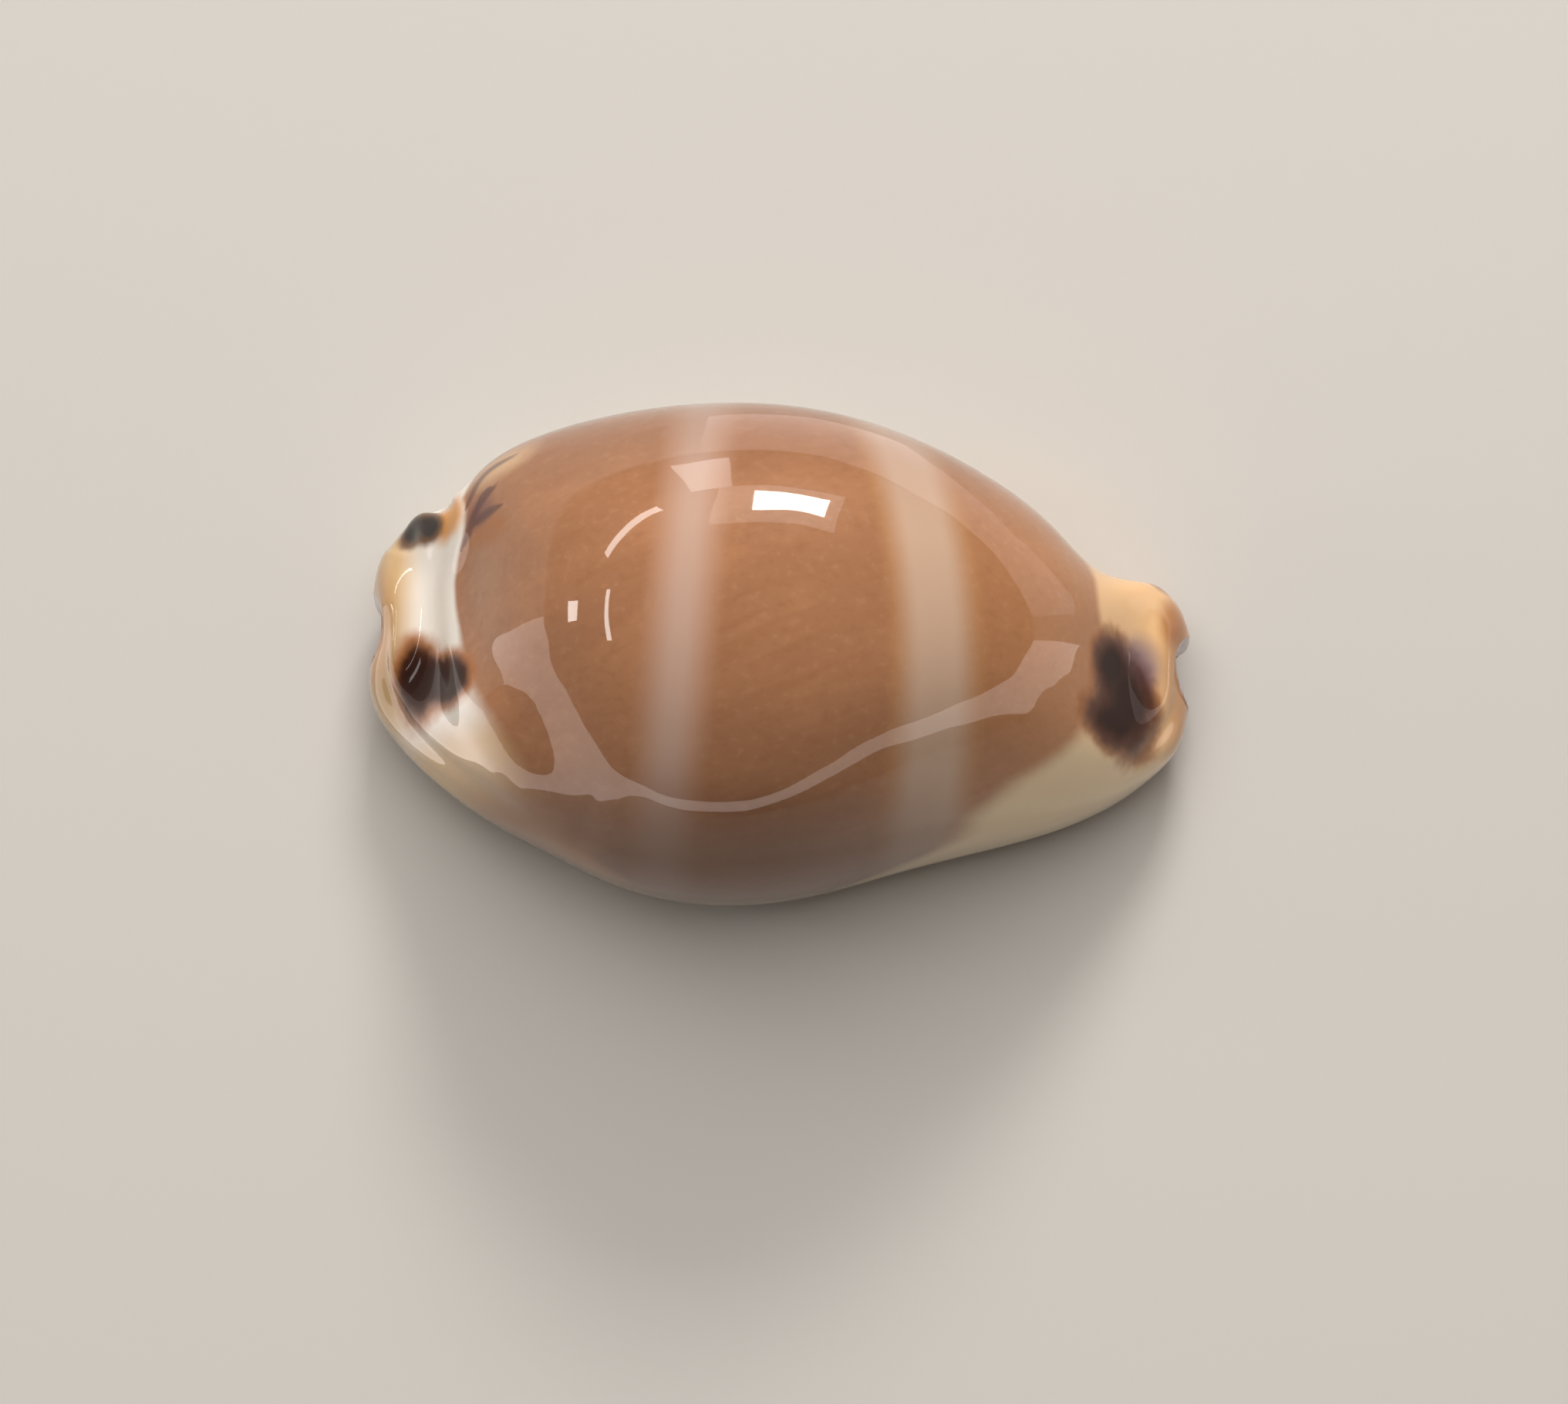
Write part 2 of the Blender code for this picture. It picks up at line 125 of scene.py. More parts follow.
@dataclass(frozen=True)
class Guide:
    """A line through given points, read at shares of its own length."""

    points: Points

    def at(self, shares: np.ndarray) -> np.ndarray:
        """Reads the line.

        Args:
            shares: shares of its length, from 0 to 1.

        Returns:
            One row for each share.
        """
        rows = np.array(self.points, float)
        steps = np.linalg.norm(np.diff(rows[:, :3], axis=0), axis=1)
        knots = np.concatenate([[0.0], np.cumsum(steps)])
        return spline_through(knots / knots[-1], rows, shares)

    def away(self, places: np.ndarray, marks: int = 90) -> tuple[np.ndarray, np.ndarray]:
        """How far places lie from the line, seen from above.

        Args:
            places: grid of points, of which x and y are used.
            marks: how many points of the line are tried.

        Returns:
            The distances, and for each place the nearest row of the line.
        """
        rows = self.at(np.linspace(0.0, 1.0, marks))
        along = np.gradient(rows, axis=0)
        across = (places[..., None, 0] - rows[:, 0]) ** 2 + (places[..., None, 1] - rows[:, 1]) ** 2
        mark = np.argmin(across, axis=-1)
        near, step = rows[mark], along[mark]
        past = ((places[..., :2] - near[..., :2]) * step[..., :2]).sum(axis=-1)
        past = past / (step[..., :2] ** 2).sum(axis=-1)
        past = np.clip(past, np.where(mark == 0, 0.0, -1.0), np.where(mark == marks - 1, 0.0, 1.0))
        near = near + step * past[..., None]
        return np.linalg.norm(places[..., :2] - near[..., :2], axis=-1), near


@dataclass(frozen=True)
class Fullness:
    """Superellipse power of a section against the share of the length; 2 is an ellipse."""

    pairs: Points

    def at(self, shares: np.ndarray) -> np.ndarray:
        """The power at each share."""
        table = np.array(self.pairs)
        return spline_through(table[:, 0], table[:, 1:2], shares)[:, 0]


@dataclass(frozen=True)
class Lip:
    """A rolled lip in section: how long it is, how far it curls and how thick its tip is."""

    length: float
    turn: float
    tip: float
    steps: int
    thins_by: float = 0.45
    tip_crowding: float = 1.25
    marks: int = 40

    def sides(self, root: float, cut: float) -> tuple[np.ndarray, np.ndarray]:
        """The two sides of the lip as offsets (across, up) from its root.

        Args:
            root: half thickness at the root.
            cut: share of the full length that is there, from root (0) to whole (1).

        Returns:
            The lower side and the upper side, from the root to the tip.
        """
        whole = self.length * root / LIP_HALF_THICKNESS
        length = root + (whole - root) * cut
        tip = root + (min(self.tip, root) - root) * cut
        count = self.steps * self.marks
        shares = np.linspace(0.0, 1.0, count + 1)
        heading = math.radians(self.turn) * (1.0 - (1.0 - shares * length / whole) ** 2)
        step = length / count
        across = np.concatenate([[0.0], np.cumsum(np.cos(heading[:-1]) * step)])
        up = np.concatenate([[0.0], np.cumsum(np.sin(heading[:-1]) * step)])
        half = root + (tip - root) * smooth_step(shares, 0.0, self.thins_by)
        from_tip = np.clip(1.0 - (1.0 - shares) * length / half, 0.0, 1.0)
        half = half * np.sqrt(1.0 - from_tip ** 2)
        places = 1.0 - (1.0 - np.linspace(0.0, 1.0, self.steps + 1)) ** self.tip_crowding
        picks = np.round(places * count).astype(int)
        below = np.stack([across + np.sin(heading) * half, up - np.cos(heading) * half], axis=1)
        above = np.stack([across - np.sin(heading) * half, up + np.cos(heading) * half], axis=1)
        return below[picks], above[picks]


@dataclass(frozen=True)
class Relief:
    """Ridges and valleys of the upper side: each guide holds x, y, height and half width."""

    lines: tuple[Points, ...]
    fades_below: float = 0.2

    def height(self, outer: np.ndarray) -> np.ndarray:
        """How high the relief stands.

        Args:
            outer: grid of outside points.

        Returns:
            How far each point is raised; negative in a valley.
        """
        raised = np.zeros(outer.shape[:2])
        for line in self.lines:
            guide = Guide(tuple((x, y, 0.0, high, wide) for x, y, high, wide in line))
            away, near = guide.away(outer)
            raised += near[..., 3] * np.exp(-(away / near[..., 4]) ** 2)
        return raised


@dataclass(frozen=True)
class TeethRows:
    """The teeth of both lips, as grooves cut between rounded crests."""

    labral: int = 20
    columellar: int = 18
    start: float = 0.095
    end: float = 0.915
    depth: float = 0.42
    crest_width: float = 0.62
    on_base: tuple[float, float] = (0.9, 2.5)
    up_lip: tuple[float, float] = (1.6, 3.0)

    def crest(self, share: np.ndarray, side: Side) -> np.ndarray:
        """Where the crests of one lip's teeth lie.

        Args:
            share: shares of the shell's length.
            side: which lip.

        Returns:
            1 on the crest of each tooth, 0 between two teeth, and 1 past the last tooth.
        """
        teeth = self.labral if side is Side.LABRAL else self.columellar
        place = (share - self.start) / (self.end - self.start) * self.labral
        skipped = (self.labral - teeth) // 2
        toothed = (place > skipped + 0.5) & (place < skipped + teeth - 0.5)
        wave = 0.5 - 0.5 * np.cos(2.0 * math.pi * place)
        return np.where(toothed, wave ** self.crest_width, 1.0)

    def groove(self, outer: np.ndarray, gaps: np.ndarray, shares: np.ndarray) -> np.ndarray:
        """How deep in a groove each point of the outside lies.

        Args:
            outer: grid of outside points.
            gaps: the aperture's middle, half gap and lowest z at each section.
            shares: where the sections lie.

        Returns:
            0 off the teeth and on a crest, 1 at the bottom of a groove.
        """
        middle = gaps[:, 1][:, None]
        beyond = np.abs(outer[..., 1] - middle) - gaps[:, 2][:, None]
        above = outer[..., 2] - gaps[:, 3][:, None]
        near = (1.0 - smooth_step(beyond, *self.on_base)) * (1.0 - smooth_step(above, *self.up_lip))
        crest = np.where(outer[..., 1] < middle, self.crest(shares, Side.LABRAL)[:, None],
                         self.crest(shares, Side.COLUMELLAR)[:, None])
        return near * (1.0 - crest)


@dataclass(frozen=True)
class ShellForm:
    """The rolled sheet that makes the shell, hung on guide lines from rear to front canal."""

    labral_margin: Guide = Guide((
        (-22.46, -0.95, 3.2), (-22.25, -2.3, 3.5), (-21.45, -3.85, 3.8), (-20.2, -5.35, 4.2),
        (-18.4, -7.0, 4.8), (-15.7, -8.95, 5.8), (-12.0, -10.85, 6.9), (-8.0, -12.6, 7.8),
        (-3.0, -13.35, 8.2), (2.0, -12.65, 7.9), (7.0, -10.95, 7.2), (12.0, -9.3, 6.0),
        (16.0, -7.8, 4.9), (18.6, -6.35, 4.2), (20.5, -4.8, 3.7), (21.95, -3.0, 3.4),
        (22.46, -1.0, 3.2)))
    columellar_margin: Guide = Guide((
        (-22.46, 3.5, 3.4), (-22.2, 5.0, 3.8), (-21.35, 6.35, 4.6), (-19.8, 7.45, 6.0),
        (-18.2, 7.9, 7.2), (-16.6, 9.45, 8.0), (-14.0, 11.15, 8.4), (-10.0, 12.5, 8.7),
        (-4.0, 13.35, 8.8), (2.0, 13.1, 8.6), (7.0, 11.9, 8.1), (11.0, 10.2, 7.4),
        (14.5, 7.9, 6.4), (17.0, 6.0, 5.2), (19.0, 5.8, 4.2), (20.6, 5.7, 3.6),
        (21.8, 4.65, 3.3), (22.42, 3.2, 3.2)))
    back: Guide = Guide((
        (-21.72, 1.1, 6.4), (-21.6, 1.15, 7.2), (-20.9, 1.2, 7.8), (-19.7, 1.2, 7.9),
        (-18.6, 1.1, 8.6), (-17.6, 1.0, 9.9), (-16.5, 0.9, 11.9), (-14.9, 0.8, 14.8),
        (-12.5, 0.6, 17.9), (-9.0, 0.4, 20.4), (-4.0, 0.2, 21.5), (0.0, 0.1, 21.6),
        (4.0, 0.1, 21.1), (8.5, 0.3, 19.4), (12.5, 0.5, 16.6), (15.5, 0.8, 13.3),
        (17.4, 1.1, 10.4), (18.8, 1.4, 8.3), (20.0, 1.8, 7.2), (21.0, 1.8, 6.6),
        (21.5, 1.5, 5.8)))
    # The aperture, as x, middle y, half gap and lowest z of the lips.
    aperture: Guide = Guide((
        (-22.2, 1.25, 0.88, 0.85), (-20.3, 0.85, 0.9, 0.62), (-17.0, 0.2, 0.85, 0.18),
        (-13.0, -0.75, 0.86, -0.12), (-8.0, -1.5, 0.9, -0.24), (-2.0, -1.95, 0.98, -0.28),
        (4.0, -1.95, 1.08, -0.28), (10.0, -1.5, 1.3, -0.2), (14.0, -0.9, 1.48, -0.02),
        (18.0, 0.1, 1.42, 0.35), (20.3, 0.9, 1.1, 0.65), (22.2, 1.1, 0.78, 0.85)))
    cavity_labral: Guide = Guide((
        (-22.46, -0.95, 3.2), (-22.15, -0.15, 3.2), (-21.55, 0.15, 3.2), (-20.6, 0.1, 3.1),
        (-19.2, -0.55, 3.4), (-17.6, -2.9, 4.6), (-15.5, -6.6, 5.8), (-12.0, -9.4, 6.9),
        (-8.0, -11.25, 7.8), (-3.0, -12.1, 8.2), (2.0, -11.45, 7.9), (7.0, -9.7, 7.2),
        (12.0, -7.7, 6.2), (15.5, -5.2, 5.2), (18.0, -2.2, 4.4), (19.8, -0.4, 3.7),
        (20.9, 0.35, 3.3), (21.6, 0.55, 3.0), (22.25, 0.05, 3.1), (22.46, -1.0, 3.2)))
    cavity_columellar: Guide = Guide((
        (-22.46, 3.5, 3.4), (-22.15, 2.5, 3.4), (-21.55, 2.0, 3.4), (-20.6, 2.05, 3.3),
        (-19.2, 2.6, 3.6), (-17.8, 4.6, 5.2), (-16.2, 7.6, 7.0), (-13.8, 9.6, 8.0),
        (-10.0, 11.2, 8.6), (-4.0, 12.1, 8.8), (2.0, 11.8, 8.6), (7.0, 10.65, 8.1),
        (11.0, 8.75, 7.3), (14.2, 6.2, 6.2), (17.0, 3.7, 4.8), (19.4, 2.6, 3.8),
        (20.8, 2.25, 3.3), (21.6, 2.15, 3.0), (22.2, 2.45, 3.1), (22.42, 3.2, 3.2)))
    cavity_back: Guide = Guide((
        (-21.72, 1.1, 6.4), (-21.4, 1.1, 5.4), (-20.6, 1.1, 4.9), (-19.2, 1.0, 5.0),
        (-17.6, 1.0, 6.4), (-16.2, 0.9, 9.5), (-14.6, 0.8, 12.9), (-12.2, 0.6, 16.4),
        (-9.0, 0.4, 19.0), (-4.0, 0.2, 20.2), (0.0, 0.1, 20.3), (4.0, 0.1, 19.8),
        (8.5, 0.3, 18.0), (12.1, 0.5, 15.2), (14.9, 0.8, 11.8), (17.0, 1.1, 8.2),
        (19.2, 1.4, 5.5), (20.4, 1.4, 4.8), (21.2, 1.4, 5.0), (21.5, 1.5, 5.8)))
    upper: Fullness = Fullness((
        (0.0, 2.0), (0.05, 2.6), (0.1, 2.9), (0.2, 2.3), (0.5, 2.12), (0.8, 2.15), (0.91, 2.4),
        (0.96, 2.3), (1.0, 2.0)))
    lower: Fullness = Fullness((
        (0.0, 2.0), (0.1, 2.4), (0.25, 2.8), (0.5, 3.0), (0.75, 2.8), (0.9, 2.4), (1.0, 2.0)))
    labral_lip: Lip = Lip(length=1.9, turn=30.0, tip=LIP_HALF_THICKNESS, steps=10)
    fold: Lip = Lip(length=12.0, turn=205.0, tip=0.6, steps=18)
    fold_grows: tuple[float, float] = (0.06, 0.4)
    fold_ends: tuple[float, float] = (0.58, 0.92)
    rim_share: float = 0.03
    rim_thickness: float = 0.0001
    lobe_spread: float = 1.25
    lobe_rise: float = 1.15
    canal_room: tuple[float, float] = (0.3, 3.5)
    base_steps: int = 22
    shoulder_steps: int = 40

    def rim(self, share: float) -> float:
        """0 at both canal rims, rising on an elliptic arc to 1 a little way in."""
        inwards = min(min(share, 1.0 - share) / self.rim_share, 1.0)
        return math.sqrt(1.0 - (1.0 - inwards) ** 2)

    def quarter(self, corner: np.ndarray, end: np.ndarray, middle_y: float, power: float,
                steps: int) -> np.ndarray:
        """Superellipse quarter of a section.

        Args:
            corner: where the curve stands upright.
            end: where it lies level.
            middle_y: y of the centre, whose z is the corner's.
            power: superellipse power.
            steps: how many points.

        Returns:
            The points after the corner, up to the end.
        """
        turn = 0.5 * math.pi * np.arange(1, steps + 1) / steps
        away = np.cos(turn).clip(0.0) ** (2.0 / power)
        along = np.sin(turn) ** (2.0 / power)
        return np.stack([corner[0] + (end[0] - corner[0]) * np.sin(turn) ** 2,
                         middle_y + (corner[1] - middle_y) * away,
                         corner[2] + (end[2] - corner[2]) * along], axis=1)

    def lip_line(self, share: float, gap: np.ndarray, side: Side, skin: Skin) -> np.ndarray:
        """One lip of a section.

        Args:
            share: where the section lies along the shell.
            gap: the aperture there.
            side: which lip.
            skin: outside or inside.

        Returns:
            Points from the root of the lip to its tip.
        """
        rim = self.rim(share)
        half = LIP_HALF_THICKNESS * rim + self.rim_thickness
        half_gap = gap[2] + self.lobe_spread * (1.0 - rim)
        lowest = gap[3] + self.lobe_rise * (1.0 - rim)
        if side is Side.LABRAL:
            below, above = self.labral_lip.sides(half, 1.0)
        else:
            cut = smooth_step(share, *self.fold_grows) * (1.0 - smooth_step(share, *self.fold_ends))
            below, above = self.fold.sides(half, float(cut))
        root = gap[1] + side.value * (half_gap + below[:, 0].max())
        chosen = below if skin is Skin.OUTSIDE else above
        return np.stack([np.full(len(chosen), gap[0]), root - side.value * chosen[:, 0],
                         lowest + half + chosen[:, 1]], axis=1)

    def section(self, share: float, margins: dict[Side, np.ndarray], back: np.ndarray,
                gap: np.ndarray, powers: tuple[float, float], skin: Skin) -> np.ndarray:
        """One cross section, from the tip of the labral lip to the tip of the columellar fold.

        Args:
            share: where the section lies along the shell.
            margins: the widest point on each side.
            back: the highest point.
            gap: the aperture there.
            powers: superellipse powers above and below the margins.
            skin: outside or inside.

        Returns:
            Points in order round the section.
        """
        upper, lower = powers
        paths = {}
        for side, margin in margins.items():
            lip = self.lip_line(share, gap, side, skin)
            base = self.quarter(margin, lip[0], lip[0][1], lower, self.base_steps)
            path = np.concatenate([margin[None], base[:-1], lip])
            if skin is Skin.INSIDE:
                straight = margin + (path[-1] - margin) * np.linspace(0.0, 1.0, len(path))[:, None]
                width = side.value * (margin[1] - path[-1][1])
                path = straight + (path - straight) * smooth_step(width, *self.canal_room)
            paths[side] = path
        left = self.quarter(margins[Side.LABRAL], back, back[1], upper, self.shoulder_steps)
        right = self.quarter(margins[Side.COLUMELLAR], back, back[1], upper, self.shoulder_steps)
        return np.concatenate([paths[Side.LABRAL][::-1], left, right[-2::-1],
                               paths[Side.COLUMELLAR]])

    def skin_grid(self, shares: np.ndarray, skin: Skin) -> np.ndarray:
        """Points of one skin.

        Args:
            shares: where the sections lie.
            skin: outside or inside.

        Returns:
            A grid of points, with a row for each section.
        """
        if skin is Skin.OUTSIDE:
            guides = (self.labral_margin, self.columellar_margin, self.back)
        else:
            guides = (self.cavity_labral, self.cavity_columellar, self.cavity_back)
        labral, columellar, back = (guide.at(shares) for guide in guides)
        gaps = self.aperture.at(shares)
        powers = list(zip(self.upper.at(shares), self.lower.at(shares)))
        return np.array([
            self.section(share, {Side.LABRAL: labral[k], Side.COLUMELLAR: columellar[k]}, back[k],
                         gaps[k], powers[k], skin)
            for k, share in enumerate(shares)])


@dataclass(frozen=True)
class ColourEdge:
    """A border between two colours, drawn from above as rows of y, x and softness.

    On the steep flanks, below leans_below, it leans along X by lean for each millimetre down,
    wanders a little and grows softer.
    """

    rows: Points
    lean: float
    leans_below: float = 10.0
    flank: tuple[float, float] = (5.5, 8.5)
    wander: float = 0.7
    wave: float = 5.5
    softer: float = 0.3

    def past(self, places: np.ndarray) -> np.ndarray:
        """Where places lie from the border.

        Args:
            places: grid of points.

        Returns:
            How many softnesses each one lies beyond the border towards +X.
        """
        table = np.array(sorted(self.rows))
        border = np.interp(places[..., 1], table[:, 0], table[:, 1])
        softness = np.interp(places[..., 1], table[:, 0], table[:, 2])
        down = (np.clip(self.leans_below - places[..., 2], 0.0, None)
                * smooth_step(np.abs(places[..., 1]), *self.flank))
        wander = self.wander * np.sin(down * 2.0 * math.pi / self.wave)
        border = border + self.lean * down + wander
        return (places[..., 0] - border) / (softness + self.softer * down)


REAR_BORDER = ColourEdge((
    (9.5, -16.6, 0.35), (8.3, -17.1, 0.25), (7.3, -17.45, 0.2), (6.6, -17.2, 0.2),
    (5.4, -17.19, 0.2), (4.5, -17.39, 0.18), (3.8, -17.52, 0.16), (2.7, -17.63, 0.16),
    (1.4, -17.49, 0.18), (0.0, -17.16, 0.22), (-1.6, -16.89, 0.4), (-3.2, -16.45, 0.6),
    (-4.7, -15.8, 0.9), (-7.2, -14.2, 1.3), (-8.5, -13.3, 1.5), (-9.7, -12.6, 1.6),
    (-11.5, -10.0, 2.0)), lean=0.9)
FRONT_BORDER = ColourEdge((
    (9.5, 13.5, 1.2), (6.5, 16.1, 0.6), (4.5, 16.72, 0.3), (2.9, 16.9, 0.3),
    (1.3, 17.25, 0.3), (-1.0, 16.95, 0.4), (-2.3, 16.6, 0.5), (-3.8, 16.3, 0.6),
    (-4.5, 15.9, 0.7), (-5.3, 15.2, 0.8), (-6.3, 14.0, 0.9), (-7.1, 12.8, 1.0),
    (-8.3, 11.4, 0.9), (-8.9, 10.6, 1.0), (-10.0, 9.9, 1.2), (-12.0, 9.6, 1.3)), lean=-0.9)
# Dark wrinkles where the last whorl closes over the spire, as x, y and half width.
SPIRE_WRINKLES = (
    ((-17.35, 4.3, 0.05), (-17.0, 5.1, 0.2), (-16.75, 5.9, 0.22), (-16.45, 6.6, 0.18),
     (-15.95, 7.25, 0.16), (-15.4, 7.8, 0.04)),
    ((-16.85, 5.5, 0.1), (-16.2, 5.92, 0.28), (-15.65, 6.15, 0.22), (-15.0, 6.4, 0.04)),
    ((-17.2, 6.55, 0.06), (-16.98, 7.2, 0.14), (-16.6, 8.15, 0.16), (-16.1, 8.7, 0.16),
     (-15.2, 9.2, 0.14), (-14.3, 9.6, 0.04)),
    ((-16.6, 6.6, 0.04), (-16.25, 7.2, 0.14), (-15.8, 7.7, 0.04)),
)
RELIEF = Relief((
    ((-17.6, 8.6, 0.0, 0.7), (-17.35, 5.8, -0.3, 0.7), (-17.75, 3.5, -0.35, 0.7),
     (-17.6, 1.0, -0.32, 0.8), (-17.2, -1.0, -0.35, 0.9), (-16.5, -3.4, -0.5, 1.2),
     (-14.9, -5.9, -0.75, 1.5), (-13.5, -7.9, -0.65, 1.5), (-12.0, -9.3, -0.4, 1.4),
     (-10.0, -10.6, 0.0, 1.2)),
    ((-21.35, 2.2, 0.0, 0.4), (-21.45, 0.9, 0.2, 0.4), (-21.55, -1.1, 0.3, 0.45),
     (-21.1, -2.85, 0.35, 0.5), (-20.15, -4.5, 0.38, 0.5), (-18.85, -5.95, 0.38, 0.5),
     (-17.3, -7.3, 0.35, 0.55), (-15.3, -8.6, 0.28, 0.6), (-13.2, -9.6, 0.15, 0.7),
     (-11.0, -10.5, 0.0, 0.8)),
    ((-21.3, 5.1, 0.0, 0.8), (-20.6, 6.1, 0.35, 0.8), (-19.75, 6.75, 0.0, 0.6),
     (-18.85, 7.45, 0.4, 0.75), (-18.1, 7.9, 0.0, 0.7)),
    ((21.6, 1.6, 0.0, 0.4), (21.75, 0.2, 0.15, 0.4), (21.65, -1.4, 0.22, 0.5),
     (20.9, -2.9, 0.25, 0.5), (19.9, -4.2, 0.22, 0.5), (18.7, -5.3, 0.1, 0.6),
     (17.0, -6.3, 0.0, 0.6)),
))


@dataclass(frozen=True)
class CowrieShell:
    """The shell as one closed mesh, with the measures that its enamel is painted by."""

    form: ShellForm = ShellForm()
    teeth: TeethRows = TeethRows()
    relief: Relief = RELIEF
    node: str = "cowrie_shell"
    name: str = "lurid_cowrie_shell"
    drawn_length: float = 44.92
    rim_sections: int = 12
    end_sections: int = 24
    tooth_sections: int = 14
    inside_stride: int = 2
    weld_gap: float = 0.002
    no_wrinkle: float = 9.0
    finest_wrinkle: float = 0.02

    def unit(self) -> float:
        """Metres of the shell for each drawn millimetre."""
        low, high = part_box(self.node)
        return (high.x - low.x) / self.drawn_length

    def shares(self) -> np.ndarray:
        """Where the sections lie.

        Returns:
            Shares of the length, crowded at the rims and many to a tooth in between.
        """
        turns = np.linspace(0.0, 0.5 * math.pi, self.rim_sections + 1)
        rim = self.form.rim_share * (1.0 - np.cos(turns))
        teeth = self.teeth
        start = np.linspace(self.form.rim_share, teeth.start, self.end_sections + 2)[1:-1]
        end = np.linspace(self.form.rim_share, 1.0 - teeth.end, self.end_sections + 2)[1:-1]
        middle = np.linspace(teeth.start, teeth.end, teeth.labral * self.tooth_sections + 1)
        return np.concatenate([rim, start, middle, 1.0 - end[::-1], 1.0 - rim[::-1]])

    def margin_columns(self) -> tuple[int, int]:
        """Columns of the outside grid that follow the labral and the columellar margin."""
        labral = self.form.labral_lip.steps + self.form.base_steps
        return labral, labral + 2 * self.form.shoulder_steps

    @staticmethod
    def normals(grid: np.ndarray) -> np.ndarray:
        """Unit normals of a grid of points, pointing out of the shell."""
        normal = np.cross(np.gradient(grid, axis=1), np.gradient(grid, axis=0))
        return normal / np.maximum(np.linalg.norm(normal, axis=2), NO_LENGTH)[..., None]

    def upper_side(self, outer: np.ndarray) -> np.ndarray:
        """Where the relief may show.

        Args:
            outer: grid of outside points.

        Returns:
            1 on the upper side, fading to 0 down to the margins and on the base.
        """
        labral, columellar = self.margin_columns()
        middle = (labral + columellar) // 2
        top = outer[:, middle, 2][:, None]
        upper = np.zeros(outer.shape[:2])
        for edge, low, high in ((labral, labral, middle), (columellar, middle, columellar)):
            foot = outer[:, edge, 2][:, None]
            rise = (outer[:, low:high + 1, 2] - foot) / (top - foot)
            upper[:, low:high + 1] = smooth_step(rise, 0.0, self.relief.fades_below)
        return upper

    def below_margin(self, outer: np.ndarray) -> np.ndarray:
        """How far under the margins the points lie.

        Args:
            outer: grid of outside points.

        Returns:
            Millimetres down the section from the nearer margin; negative above it.
        """
        steps = np.linalg.norm(np.diff(outer, axis=1), axis=2)
        along = np.concatenate([np.zeros((len(outer), 1)), np.cumsum(steps, axis=1)], axis=1)
        labral, columellar = self.margin_columns()
        from_labral = along[:, labral][:, None] - along
        from_columellar = along - along[:, columellar][:, None]
        return np.maximum(from_labral, from_columellar)

    def measures(self, outer: np.ndarray, groove: np.ndarray,
                 shares: np.ndarray) -> dict[str, np.ndarray]:
        """What the enamel is painted by, at every point of the outside.

        Args:
            outer: grid of outside points.
            groove: how deep in a groove between teeth each one lies.
            shares: where the sections lie.

        Returns:
            One grid of numbers for each measure.
        """
        wrinkle = np.full(outer.shape[:2], self.no_wrinkle)
        for line in SPIRE_WRINKLES:
            away, near = Guide(tuple((x, y, 0.0, wide) for x, y, wide in line)).away(outer)
            wrinkle = np.minimum(wrinkle, away / np.maximum(near[..., 3], self.finest_wrinkle))
        wrinkle = np.where(self.upper_side(outer) > 0.0, wrinkle, self.no_wrinkle)
        rim = np.minimum(shares, 1.0 - shares) * self.drawn_length
        return {
            "rear_border": REAR_BORDER.past(outer),
            "front_border": FRONT_BORDER.past(outer),
            "below_margin": self.below_margin(outer),
            "from_rim": np.repeat(rim[:, None], outer.shape[1], axis=1),
            "groove": groove,
            "wrinkle": wrinkle,
            "inside": np.zeros(outer.shape[:2]),
        }

    def build(self, enamel: bpy.types.Material) -> bpy.types.Object:
        """Makes the shell.

        Args:
            enamel: its material.

        Returns:
            The finished shell, not yet in the scene.
        """
        shares = self.shares()
        outer = self.form.skin_grid(shares, Skin.OUTSIDE)
        inner = self.form.skin_grid(shares, Skin.INSIDE)
        gaps = self.form.aperture.at(shares)
        raised = self.relief.height(outer) * self.upper_side(outer)
        outer = outer + self.normals(outer) * raised[..., None]
        groove = self.teeth.groove(outer, gaps, shares)
        outer = outer - self.normals(outer) * (self.teeth.depth * groove)[..., None]
        outer[..., 2] = np.maximum(outer[..., 2], 0.0)
        for edge in ((0, slice(None)), (-1, slice(None)), (slice(None), 0), (slice(None), -1)):
            inner[edge] = outer[edge]
        measures = self.measures(outer, groove, shares)
        columns = np.arange(0, outer.shape[1], self.inside_stride)
        if columns[-1] != outer.shape[1] - 1:
            columns = np.append(columns, outer.shape[1] - 1)
        back = columns[::-1]
        loops = np.concatenate([outer[:, :-1], inner[:, back]], axis=1)
        painted = {name: np.concatenate([grid[:, :-1], grid[:, back]], axis=1)
                   for name, grid in measures.items()}
        painted["inside"][1:-1, outer.shape[1]:-1] = 1.0
        piece = object_from(self.closed_shape(loops * self.unit(), painted), self.name, enamel)
        piece.data.shade_smooth()
        return piece

    def closed_shape(self, loops: np.ndarray,
                     painted: dict[str, np.ndarray]) -> bmesh.types.BMesh:
        """Lays a grid over closed loops, welds its seam and rims, and keeps the measures.

        Args:
            loops: one closed loop of points for each section, in metres.
            painted: the measures at the same points.

        Returns:
            The closed shape.
        """
        along, around = loops.shape[0] - 1, loops.shape[1] - 1
        bm = bmesh.new()
        bmesh.ops.create_grid(bm, x_segments=along, y_segments=around, size=1.0)
        layers = {name: bm.verts.layers.float.new(name) for name in painted}
        for vert in bm.verts:
            i, j = grid_line(vert.co.x, along), grid_line(vert.co.y, around)
            vert.co = loops[i, j]
            for name, layer in layers.items():
                vert[layer] = painted[name][i, j]
        bmesh.ops.remove_doubles(bm, verts=bm.verts, dist=self.weld_gap * MM)
        bmesh.ops.recalc_face_normals(bm, faces=bm.faces)
        return bm


